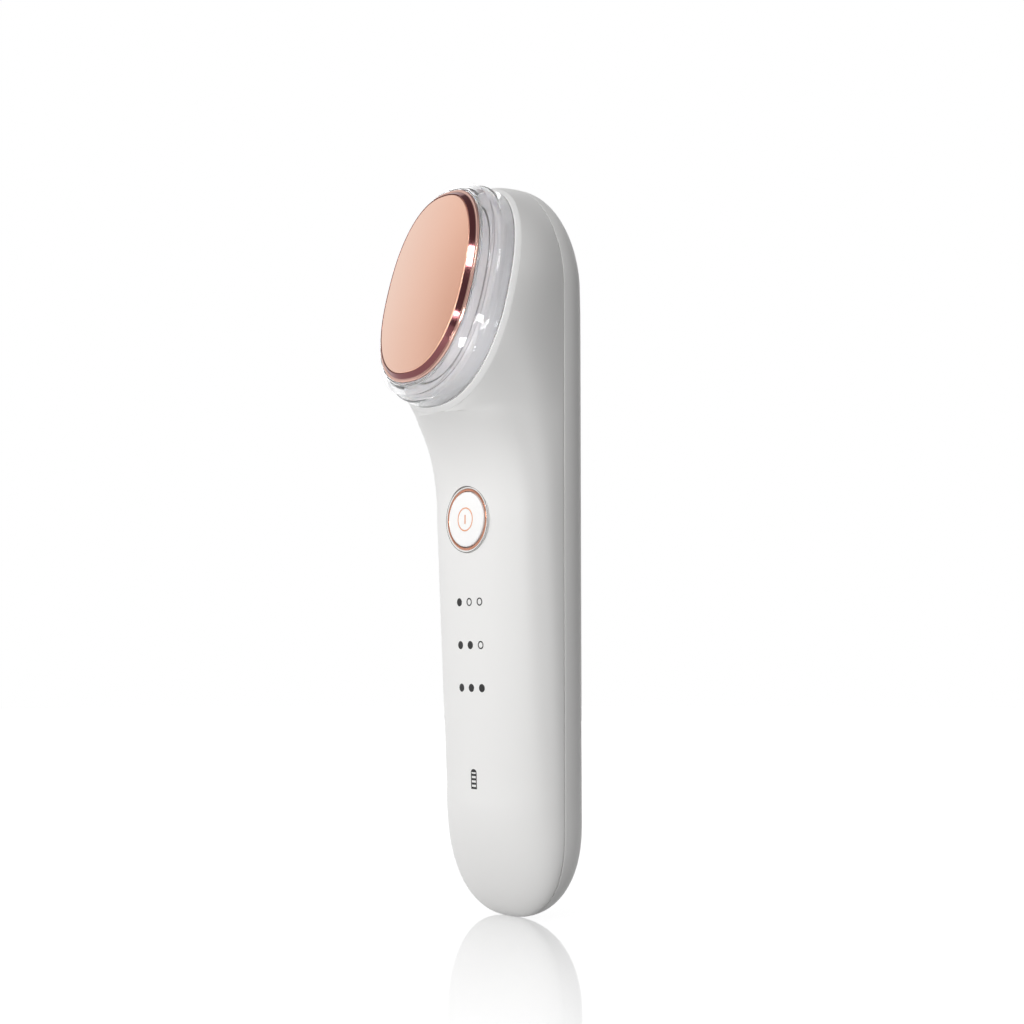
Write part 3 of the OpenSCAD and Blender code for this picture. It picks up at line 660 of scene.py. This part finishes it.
def plateFinish():
    # Satin blasted metal under a thin lacquer; its tint is painted a little deeper to the right, a painted
    # shade on a plate of one colour
    look = {"deep": (0.89, 0.50, 0.36), "pale": (0.88, 0.64, 0.53), "middle": 0.35, "shadeSlope": 30.0,
            "cloud": 0.3, "cloudScale": 26.0, "roughness": 0.36, "blastScale": 5200.0, "blastSpread": 0.1,
            "lacquer": 0.25, "lacquerRoughness": 0.35, "bump": 0.12, "bumpDepth": 0.000012}
    material, graph = freshGraph("satinRose")
    spot = graph.spot()
    blast, cloud = graph.noise(spot, look["blastScale"], 2.0), graph.noise(spot, look["cloudScale"], 1.0)
    across = graph.add("ShaderNodeSeparateXYZ", {0: spot})
    # painted shade: the tint deepens along X, to the right, with a random cloud of tone on top
    share = (look["middle"] + cloud * look["cloud"] + across * look["shadeSlope"]).clamped()
    graph.surface({
        "Base Color": graph.mix(share, look["pale"], look["deep"]), "Metallic": 1.0,
        "Roughness": look["roughness"] + (blast - 0.5) * look["blastSpread"],
        "Coat Weight": look["lacquer"], "Coat Roughness": look["lacquerRoughness"],
        "Normal": graph.bump(blast, look["bump"], look["bumpDepth"])})
    return material


def brightFinish(name, colour, roughness, hazeScale=300.0, darker=0.92, spread=0.05):
    # Polished plating with the faintest haze
    material, graph = freshGraph(name)
    spot = graph.spot()
    haze = graph.noise(spot, hazeScale, 3.0)
    graph.surface({"Base Color": graph.mix(haze, tuple(c * darker for c in colour), colour), "Metallic": 1.0,
                   "Roughness": roughness + (haze - 0.5) * spread})
    return material


def clearFinish():
    # Polished clear moulding, a cool light grey, with the slight waves of its flow
    look = {"deep": (0.86, 0.863, 0.87), "pale": (0.91, 0.913, 0.918), "flowScale": 90.0, "bump": 0.03,
            "roughness": 0.02, "spread": 0.03, "clear": 0.92, "ior": 1.46}
    material, graph = freshGraph("clearMoulding")
    spot = graph.spot()
    flow = graph.noise(spot, look["flowScale"], 1.0)
    graph.surface({"Base Color": graph.mix(flow, look["deep"], look["pale"]),
                   "Roughness": look["roughness"] + flow * look["spread"], "IOR": look["ior"],
                   "Transmission Weight": look["clear"], "Normal": graph.bump(flow, look["bump"])})
    return material


finishes = {name: finish(name, *look) for name, look in looks.items()}
finishes["rose_metal"] = plateFinish()
finishes["rose_bright"] = brightFinish("roseLip", (0.66, 0.42, 0.36), 0.14)
finishes["clear_ring"] = clearFinish()
# Painted reflection: the polished bevel's darkness is painted into its colour for the dark surroundings it
# mirrors; its rose tint is the plating's own
bevelPaintedDark = brightFinish("roseBevelPaintedDark", (0.21, 0.08, 0.085), 0.07)
roseEdge = brightFinish("roseEdge", (0.93, 0.88, 0.86), 0.12)
roseRing = brightFinish("roseRing", (0.58, 0.28, 0.19), 0.17)
print("finishes made")


# A ring or dome whose place follows the oval's rule. Each point carries its own offset from the plate's edge,
# its station along the plate's axis, its turn round the oval and its share of the full size.
def ovalTree():
    graph, given = startTree("ovalRule", ["Half Width", "Half Height", "Exponent", "Taper", "Tilt", "Face Y",
                                          "Face Z"])

    def carried(name):
        return graph.add("GeometryNodeInputNamedAttribute", {"Name": name}, {"data_type": "FLOAT"})

    off, station, turn, share = (carried(name) for name in ("off", "station", "turn", "share"))
    power = 2 / given["Exponent"]
    sine, cosine = turn.sine(), turn.cosine()
    up = sine.sign() * abs(sine) ** power
    across = cosine.sign() * abs(cosine) ** power
    x = (given["Half Width"] + off) * share * across * (1 - given["Taper"] * up)
    v = (given["Half Height"] + off) * share * up
    sinTilt, cosTilt = given["Tilt"].sine(), given["Tilt"].cosine()
    y = given["Face Y"] + v * sinTilt - station * cosTilt
    z = given["Face Z"] + v * cosTilt + station * sinTilt
    spot = graph.add("ShaderNodeCombineXYZ", {0: x, 1: y, 2: z})
    moved = graph.add("GeometryNodeSetPosition", {"Geometry": given["Geometry"], "Position": spot})
    return endTree(graph, given, moved)


ovalRule = ovalTree()


def ovalPiece(name, slot, node, profile, closed=True, sharp=32, sideTrim=lambda off: 0.0, turns=256):
    # profile rows are [offset, station] or [offset, station, share]; the sides can be trimmed by their offset
    rows = [list(p) + [1.0] * (3 - len(p)) for p in profile]
    count = len(rows)
    faces = []
    for i in range(count if closed else count - 1):
        near, far = i * turns, (i + 1) % count * turns
        for j in range(turns):
            ahead = (j + 1) % turns
            faces.append((near + j, far + j, far + ahead, near + ahead))
    if not closed:
        faces += [tuple(range(turns)), tuple((count - 1) * turns + j for j in range(turns))]
    mesh = bpy.data.meshes.new(name)
    mesh.from_pydata([(0, 0, 0)] * (count * turns), [], faces)
    turn = turnsOf(turns, 0.5)
    columns = {
        "off": [(row[0] - sideTrim(row[0]) * cos(t) ** 2) * mm for row in rows for t in turn],
        "station": [row[1] * mm for row in rows for _ in turn],
        "share": [row[2] for row in rows for _ in turn],
        "turn": turn * count,
    }
    for key, values in columns.items():
        mesh.attributes.new(key, "FLOAT", "POINT").data.foreach_set("value", np.array(values, np.float32))
    piece = linked(name, mesh)
    runTree(piece, ovalRule, {
        "Half Width": form["plateWidth"] * mm, "Half Height": form["plateHeight"] * mm,
        "Exponent": form["ovalPower"], "Taper": form["ovalTaper"], "Tilt": tilt,
        "Face Y": (midShift - form["collarFront"]) * mm, "Face Z": form["collarZ"] * mm,
        "Finish": finishes[slot]})
    for key in columns:
        piece.data.attributes.remove(piece.data.attributes[key])
    cleanMesh(piece)
    smoothShade(piece, sharp)
    assign(piece, "body", slot, node)
    return piece


# Front shell: level rows from the foot to the top. Each row runs from the centre of the front to the seam,
# round the rim, and back along the inner skin. The row is mirrored for the other side.
frontSizes = {
    "wallSteps": 40, "landSteps": 5, "edgeSteps": 4, "innerSteps": 24, "wallEase": 0.9, "lowLevels": 44,
    "handleStep": 3.0, "neckLevels": 26, "neckStop": 0.35, "headLevels": 104, "topLevels": 12,
    "edgeRound": 0.1, "edgeInset": 0.5, "cheek": 0.04, "lipGap": 0.1, "hollowBack": 4, "hollowDrop": 2.4,
    "hollowZ": 140, "blendNear": 4, "blendFar": 8, "blendWidth": 1.8, "ridgeSteps": 4, "ridgeFade": 10,
    "mouthDepth": 3.4, "mouthReach": 6, "mouthSteps": 160, "outside": -30, "holeRadius": 7.8,
    "holeFloor": -12.2, "stemRadius": 7.45, "stemFloor": -3,
}


def frontLevels():
    s = frontSizes
    low = easedFrom(form["frontEndHeight"], s["lowLevels"])[:-1]
    handle = list(np.arange(form["frontEndHeight"], form["neckZ"], s["handleStep"]))
    neck = list(np.linspace(form["neckZ"], collarLowZ - s["neckStop"], s["neckLevels"]))
    turns = [radians(-90 + 180 * j / s["headLevels"]) for j in range(1, s["headLevels"])]
    ups = [root(sin(turn), form["ovalPower"]) for turn in turns]
    head = [form["collarZ"] + up * collarHeight * cos(tilt) for up in ups]
    rest, steps = form["bodyHeight"] - collarTopZ, s["topLevels"]
    top = [collarTopZ + rest * sin(pi / 2 * j / steps) for j in range(steps + 1)]
    return low + handle + neck + [collarLowZ] + head + top


def frontSection(h):
    return halfWidth(h), frontDepth(h), frontPower(h), cutDepth(h), besideCollar(h)


def frontOutside(h, seam):  # land, edge and wall of one level, from the centre of the front to the seam
    s = frontSizes
    w, d, power, cut, beside = frontSection(h)
    trim = 1 - s["edgeInset"] / collarWidth
    wide = (1 + swell(h)) * trim - 1 if beside else 0
    full = 4 * s["cheek"] * (1 - collarUp(h) ** 4) if beside else 0  # the cheeks, fullest half way

    def wallPoint(angle):
        y = -d * root(sin(angle), power)
        t = unit(-y / cut)
        return [w * root(cos(angle), power) * (1 + (wide * t * t + full * t * (1 - t))), y]

    if beside:
        half = collarHalf(h) * trim
        soft = min(s["edgeRound"], 0.4 * half)
        end = asin(min(1.0, ((cut - soft) / d) ** (power / 2)))
        landEnd = [max(0.0, half - soft), -cut]
        land = [[landEnd[0] * j / s["landSteps"], -cut] for j in range(s["landSteps"])]
        edge = [landEnd] + curveBetween(landEnd, [half, -cut], wallPoint(end), s["edgeSteps"])
    else:
        end = pi / 2
        land, edge = [[0.0, -d]] * s["landSteps"], [[0.0, -d]] * (s["edgeSteps"] + 1)
    first = asin(min(1.0, (seam / d) ** (power / 2)))
    shares = [(j / s["wallSteps"]) ** s["wallEase"] for j in range(s["wallSteps"] + 1)]
    wall = [wallPoint(end + (first - end) * share) for share in shares]
    if not beside:
        wall[0] = [0.0, -d]
    return land + edge + wall


def frontRow(z):
    s = frontSizes
    h = insideEnds(z)
    w, d, power, cut, beside = frontSection(h)
    seam = seamSize(d)
    row = [[x, y, h if abs(z - h) < 0.01 else z] for x, y in frontOutside(h, seam)]
    row += seamCurve(row[-1][0], z, -seam, 0.0, seam)
    rebate = form["wall"] - form["lipThickness"] - s["lipGap"]
    floorY = -lipReach(h) - s["lipGap"] * unit(d / 2)
    row += [drawn(w, y, z, rebate) for y in (0.0, floorY)]
    inset = form["wall"]
    drop = s["hollowDrop"] * unit((z - s["hollowZ"]) / (form["bodyHeight"] - s["hollowZ"]))
    for j in range(s["innerSteps"] + 1):
        angle = pi / 2 * j / s["innerSteps"]
        x, y = w * root(cos(angle), power), -d * root(sin(angle), power)
        if beside:  # the hollow stops behind the collar's land
            y = max(y, -cut - s["hollowBack"])
        y = y * (form["frontHigh"] - inset) / form["frontHigh"] + floorY * (1 + y / d) ** 3
        if beside:
            y = max(y, -cut + inset)
        x, y, up = drawn(x, y, z, inset)
        row.append([x, y, up - drop])
    return row


def smoothNeck(rows):
    # The flanks run on softly past the foot of the collar, the front's own ridge stays
    s = frontSizes
    first = s["landSteps"] + s["edgeSteps"] + 1
    last = first + s["wallSteps"] + 1
    wall = np.array([row[first:last] for row in rows])
    levels = wall[:, -1, 2]
    kept = np.clip((np.arange(s["wallSteps"] + 1) - s["ridgeSteps"]) / s["ridgeFade"], 0, 1)[:, None]
    for i, level in enumerate(levels):
        near = unit((s["blendFar"] - abs(level - collarLowZ)) / s["blendNear"])
        if near > 0:
            weights = np.exp(-((levels - level) / s["blendWidth"]) ** 2) * np.gradient(levels)
            soft = np.tensordot(weights / weights.sum(), wall, 1)
            soft[:, 2] = level
            rows[i][first:last] = (wall[i] + (soft - wall[i]) * kept * near).tolist()
    return rows


def makeFrontShell():
    s = frontSizes
    points, faces = mirroredLoft(smoothNeck([frontRow(z) for z in frontLevels()]))
    shell = newPiece("frontShell", points, faces, finishes["white_shell"])
    off = form["collarOff"] - form["wall"]
    width, height = form["plateWidth"] + off, form["plateHeight"] + off
    mouth = [ovalPoint(width, height, turn) for turn in turnsOf(s["mouthSteps"], 0.5)]
    cutWith(shell, [prism(mouth, -s["mouthDepth"], s["mouthReach"], onCollar)])
    for floor, radius in ((s["holeFloor"], s["holeRadius"]), (s["stemFloor"], s["stemRadius"])):
        cutWith(shell, [prism(circle(radius, 96, form["buttonZ"]), s["outside"], floor, upright)])
    assign(shell, "body", "white_shell", "front_housing")
    print("front shell:", len(shell.data.polygons), "faces")


makeFrontShell()

rearSizes = {
    "wallSteps": 44, "innerSteps": 28, "lowLevels": 44, "topLevels": 60, "handleStep": 3.5,
    "leastDepth": 0.02, "ventWidth": 1.6, "ventPitch": 3.2, "ventField": 22.0, "ventDrop": 4,
    "portWidth": 9.34, "portThickness": 3.66, "inside": 3, "outside": 20,
}


def rearLevels():
    low = easedFrom(form["backEndHeight"], rearSizes["lowLevels"])[:-1]
    topZ = form["bodyHeight"] - form["topHeight"]
    middle = list(np.arange(form["backEndHeight"], topZ - 1, rearSizes["handleStep"]))
    top = [form["bodyHeight"] - down for down in easedFrom(form["topHeight"], rearSizes["topLevels"])]
    return low + middle + top[::-1]


def rearRow(z):
    s = rearSizes
    h = insideEnds(z)
    w, d = halfWidth(h), max(s["leastDepth"], backDepth(h))
    gap, power = form["seamGap"], form["backPower"]

    def skin(steps, inset, start=0.0):
        row = []
        for j in range(steps + 1):
            angle = pi / 2 + (start - pi / 2) * j / steps
            x = 0.0 if j == 0 else w * root(cos(angle), power)
            y = gap + d * root(sin(angle), power) * (form["backDepth"] - inset - gap) / form["backDepth"]
            row.append(drawn(x, y, z, inset))
        return row

    seam = seamSize(d)
    row = skin(s["wallSteps"], 0, asin(min(1.0, (seam / d) ** (power / 2))))
    row += seamCurve(row[-1][0], z, row[-1][1], gap, seam)
    lip, reach = form["wall"] - form["lipThickness"], -lipReach(h)
    row += [drawn(w, y, z, inset) for inset, y in ((lip, gap), (lip, reach), (form["wall"], reach))]
    return row + skin(s["innerSteps"], form["wall"])[::-1]


def makeRearShell():
    s = rearSizes
    points, faces = mirroredLoft([rearRow(z) for z in rearLevels()])
    shell = newPiece("rearShell", points, faces, finishes["white_shell"])
    rows = int(s["ventField"] / 2 / s["ventPitch"])
    slots = []
    for i in range(-rows, rows + 1):
        half = sqrt((s["ventField"] / 2) ** 2 - (i * s["ventPitch"]) ** 2)
        slots.append((half, s["ventWidth"] / 2, form["collarZ"] - s["ventDrop"] + i * s["ventPitch"]))
    slots.append((s["portWidth"] / 2, s["portThickness"] / 2, form["portZ"]))
    cutWith(shell, [prism(slotOutline(*slot), s["inside"], s["outside"], upright) for slot in slots])
    assign(shell, "body", "white_shell", "rear_cover")
    print("rear shell:", len(shell.data.polygons), "faces")


makeRearShell()

# Head: soft gasket, clear stepped ring, plated rim and domed plate, all on the oval's rule
head = {
    "gasketThickness": 1.3, "gasketTrim": 5.4, "ringWall": 1.1, "ringSeat": 0.03, "ringBack": 1.65,
    "bevel": 1.1, "lip": 0.7, "gap": 0.15, "dome": 0.9, "domeRings": 26, "domeEnd": 88.5,
    "plateThickness": 1.6, "boardStation": 4.0, "bevelEnd": 1.16, "bevelSlope": 0.4, "skirtStart": 1.75,
}


def makeGasket():
    off = form["collarOff"]
    inner, thickness = off - form["wall"] + 0.05, head["gasketThickness"]
    profile = roundCorners([[inner, 0], [off - 0.06, 0], [off - 0.06, 0.12], [off - 0.92, thickness],
                            [inner, thickness]], [0, 0.04, 0.25, 0.2, 0])
    ovalPiece("softGasket", "soft_white", "collar_gasket", profile,
              sideTrim=lambda o: frontSizes["edgeInset"] * unit((o - head["gasketTrim"]) * 2))


def makeClearRing():
    off, top = form["collarOff"], form["plateStation"]
    out, foot, front = off - 0.8, off - form["wall"] + 0.1, top - head["ringBack"]
    near = head["bevel"] + head["lip"] + head["gap"]
    base, wall = head["gasketThickness"] + head["ringSeat"], head["ringWall"]
    profile = roundCorners(
        [[foot, base], [out - 0.2, base], [out - 0.35, 4.9], [out - 0.85, 5.3], [out - 1.05, top - 3.5],
         [out - 1.35, top - 3.2], [near + 0.3, front], [near, front - 0.2], [near, front - wall],
         [out - 1.05 - wall, top - 4.4], [foot, 4.6]],
        [0.05, 0.1, 0.3, 0.25, 0.3, 0.25, 0.2, 0.1, 0.2, 0.4, 0.4])
    ovalPiece("clearRing", "clear_ring", "light_ring", profile, sharp=40)


def makePlateRim():
    top, bevel, station = form["plateStation"], head["bevel"], head["boardStation"]
    edge, back = bevel + head["lip"], top - head["plateThickness"]
    profile = roundCorners(
        [[0.1, top - 0.12], [0.2, top - 0.1], [bevel, top - 1.25], [bevel + 0.15, top - 1.17],
         [edge - 0.1, top - 1.25], [edge, top - 1.9], [1.4, top - 2.2], [1.4, station], [0.4, station],
         [0.4, back - 1.8], [-1.3, back - 1.8], [-1.3, back - 0.8], [0.1, back - 0.8]],
        [0.03, 0.04, 0.06, 0.06, 0.3, 0.15, 0.1, 0, 0, 0, 0, 0, 0])
    rim = ovalPiece("plateRim", "rose_bright", "plate_bezel", profile, sharp=26)
    for more in (bevelPaintedDark, finishes["skirtSilver"]):
        rim.data.materials.append(more)
    level = Vector((0, -cos(tilt), sin(tilt)))
    origin = Vector((0, (midShift - form["collarFront"]) * mm, form["collarZ"] * mm))
    for face in rim.data.polygons:  # the bevel next to the plate takes a darker colour, a painted dark reflection on the same rose plating, the skirt is bare
        height = (face.center - origin).dot(level) / mm
        # painted dark reflection: these bevel faces take the dark colour
        if height > top - head["bevelEnd"] and abs(face.normal.dot(level)) > head["bevelSlope"]:
            face.material_index = 1
        elif height < top - head["skirtStart"]:
            face.material_index = 2


def makePlate():
    top = form["plateStation"]
    profile = [[0, top - head["plateThickness"]], [0, top - 0.36], [-0.02, top - 0.24], [-0.08, top - 0.13],
               [-0.18, top - 0.06], [-0.32, top - 0.01]]
    for i in range(head["domeRings"]):
        share = cos(radians(head["domeEnd"]) * i / head["domeRings"])
        profile.append([-0.4, top + head["dome"] * (1 - share * share), share])
    plate = ovalPiece("facePlate", "rose_metal", "treatment_plate", profile, closed=False, sharp=50)
    plate.data.materials.append(roseEdge)


makeGasket()
makeClearRing()
makePlateRim()
makePlate()
print("head made")

# Button: turned rim and cap, with the power mark printed on the cap
button = {
    "capDiameter": 12.9, "rimDiameter": 15.5, "ringOut": 7.22, "gap": 0.15, "rimThickness": 1.3,
    "land": 0.3, "sunk": 0.46, "crown": 0.25, "crownSteps": 8, "line": 0.17, "flange": 0.8, "dome": 0.2,
    "markRadius": 2.64, "markStroke": 0.33, "barHeight": 2.2, "barWidth": 0.44, "stemEnd": -7.83,
    "markSunk": 0.03, "markProud": 0.02,
}
capRadius = button["capDiameter"] / 2


def capDepth(r):
    return form["buttonFace"] - button["dome"] * (1 - (r / capRadius) ** 2)


def makeButtonRim():
    face, z = form["buttonFace"], form["buttonZ"]
    inner, outer = capRadius + button["gap"], button["rimDiameter"] / 2
    middle, half = (inner + button["ringOut"]) / 2, (button["ringOut"] - inner) / 2
    crown = []
    for j in range(button["crownSteps"] + 1):  # rolled crown, sunk a little, from the outside to the inside
        angle = pi * j / button["crownSteps"]
        rise = button["crown"] * sin(angle) ** 0.8
        crown.append([middle + half * cos(angle), face + button["sunk"] - rise])
    back, flat = face + button["rimThickness"], face + button["land"]
    # the land's outer band, as wide as the line size, carries painted shade for the gap round the rim
    land = [[outer, back], [outer, flat], [outer - button["line"], flat], [button["ringOut"] + 0.1, flat],
            [button["ringOut"] + 0.03, flat + 0.08]]
    points, faces = turned([[inner, back]] + land + crown, z, 160)
    rim = newPiece("buttonRim", points, faces, roseRing, sharp=40)
    assign(rim, "body", "rose_bright", "button_bezel")
    for more in (finishes["white_shell"], finishes["paintedGapShade"]):
        rim.data.materials.append(more)
    for facet in rim.data.polygons:  # rose ring, white land, and at its edge a fine grey band of painted shade for the shadow in the gap
        away = hypot(facet.center.x, facet.center.z - z * mm) / mm
        if away > button["ringOut"] + 0.01:
            facet.material_index = 2 if away > outer - button["line"] and abs(facet.normal.y) > 0.5 else 1


def makeButtonCap():
    face, end, edge = form["buttonFace"], button["stemEnd"], capRadius + 0.75
    back = face + button["rimThickness"] + 0.15
    profile = [[0.0, end], [1.85, end], [2.0, end - 0.15], [2.0, back + button["flange"]],
               [edge, back + button["flange"]], [edge, back], [capRadius, back], [capRadius, face + 0.34],
               [capRadius - 0.03, face + 0.2], [capRadius - 0.10, face + 0.09],
               [capRadius - 0.22, face + 0.02]]
    profile += [[r, capDepth(r)] for r in np.linspace(capRadius - 0.4, 0, 14)]
    points, faces = turned(profile, form["buttonZ"], 128)
    cap = newPiece("buttonCap", points, faces, finishes["white_cap"], sharp=40)
    assign(cap, "button", "white_cap", "power_button")


def makePowerMark():
    z, radius, half = form["buttonZ"], button["markRadius"], button["markStroke"] / 2
    depths = (button["markSunk"], -button["markProud"])
    ring = [[r, capDepth(r) + depths[0]] for r in (radius - half, radius + half)]
    ring += [[r, capDepth(r) + depths[1]] for r in (radius + half, radius - half)]
    points, faces = turned(ring, z, 96)
    parts = [newPiece("markRing", points, faces, finishes["inkRose"])]
    outline = [(v, u) for u, v in slotOutline(button["barHeight"] / 2, button["barWidth"] / 2, 0.0)]
    bar = [[(u, capDepth(hypot(u, v)) + depth, z + v) for u, v in outline] for depth in depths]
    parts.append(newPiece("markBar", allPoints(bar), capped(bar), finishes["inkRose"]))
    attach(joinPieces("powerMark", parts), "button")


makeButtonRim()
makeButtonCap()
makePowerMark()
print("button made")


def rowTree():  # a row of equal marks, each on its own point
    graph, given = startTree("markRow", ["Count", "Pitch X", "Pitch Z"])
    offset = graph.add("ShaderNodeCombineXYZ", {0: given["Pitch X"], 2: given["Pitch Z"]})
    line = graph.add("GeometryNodeMeshLine", {"Count": given["Count"], "Offset": offset}, {"mode": "OFFSET"})
    copies = graph.add("GeometryNodeInstanceOnPoints", {"Points": line, "Instance": given["Geometry"]})
    return endTree(graph, given, copies)


markRow = rowTree()
marks = {
    "ink": 0.03, "sunk": 0.05, "dotRadius": 0.95, "ringStroke": 0.3, "dotPitch": 3.7,
    "levels": [73.1, 63.1, 53.2], "gaugeZ": 32.2, "gaugeWidth": 2.05, "gaugeDrop": 2.3,
    "gaugeStroke": 0.28, "gaugeHeight": 3.8, "domeLift": 1.55, "domeHeight": 0.75, "domeSteps": 16,
    "barHeight": 0.5, "bars": 4, "barPitch": 1.0,
}


def flatMark(name, outline, inner=None):
    # A flat shape in the plane of X and Z, with an optional hole of the same point count
    if inner is None:
        points, faces = prism(outline, -1, 1, upright)
    else:
        lines = ((outline, -1), (outline, 1), (inner, 1), (inner, -1), (outline, -1))
        rings = [[upright(u, v, depth) for u, v in line] for line, depth in lines]
        points, faces = allPoints(rings), loft(rings)
    spots = [(x * mm, y * mm, z * mm) for x, y, z in points]
    return newPiece(name, spots, faces, finishes["inkBlack"], placed=True)


def repeated(piece, count, pitchX, pitchZ):
    return runTree(piece, markRow, {"Count": count, "Pitch X": pitchX * mm, "Pitch Z": pitchZ * mm,
                                    "Finish": finishes["inkBlack"]})


def printOn(piece, x, z):
    # Lays a flat mark on the front's own curve, a hair proud of it
    for vertex in piece.data.vertices:
        u, v = vertex.co.x / mm + x, vertex.co.z / mm + z
        depth = marks["sunk"] if vertex.co.y > 0 else -marks["ink"]
        vertex.co = Vector((u * mm, (frontFace(u, v) + depth + midShift) * mm, v * mm))
    return piece


def finishMark(name, parts):
    mark = joinPieces(name, parts)
    cleanMesh(mark)
    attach(mark, "body")


def makeLevelMarks():  # three rows of dots, the filled ones count the level
    r, stroke, pitch = marks["dotRadius"], marks["ringStroke"], marks["dotPitch"]
    for level, z in enumerate(marks["levels"]):
        filled, empty = level + 1, 2 - level
        parts = [printOn(repeated(flatMark("dot", circle(r)), filled, pitch, 0), -pitch, z)]
        if empty:
            ring = repeated(flatMark("ring", circle(r), circle(r - stroke)), empty, pitch, 0)
            parts.append(printOn(ring, -pitch + pitch * filled, z))
        finishMark("levelMark" + str(level + 1), parts)


def makeBatteryMark():
    half, high, z = marks["gaugeWidth"] / 2, marks["barHeight"], marks["gaugeZ"]
    bar = flatMark("bar", [(-half, 0), (half, 0), (half, high), (-half, high)])
    parts = [printOn(repeated(bar, marks["bars"], 0, marks["barPitch"]), 0, z - marks["gaugeDrop"])]
    turns = [pi * j / marks["domeSteps"] for j in range(marks["domeSteps"] + 1)]
    dome = [(half * cos(turn), marks["domeHeight"] * sin(turn)) for turn in turns]
    parts.append(printOn(flatMark("gaugeTop", dome), 0, z + marks["domeLift"]))
    for side in (-1, 1):
        out, near, up = side * half, side * (half - marks["gaugeStroke"]), marks["gaugeHeight"]
        wall = flatMark("gaugeSide", [(out, 0), (near, 0), (near, up), (out, up)])
        parts.append(printOn(wall, 0, z - marks["gaugeDrop"]))
    finishMark("batteryMark", parts)


makeLevelMarks()
makeBatteryMark()
print("marks made")

# CAD nodes that stay take their finish by slot
for row in frame["record"]["subparts"]:
    node = frame["nodes"][row["node"]]
    chosen = finishes[row["material_slot"]]
    if not node.data.materials:
        node.data.materials.append(chosen)
    for i in range(len(node.data.materials)):
        node.data.materials[i] = chosen
print("inner parts finished")
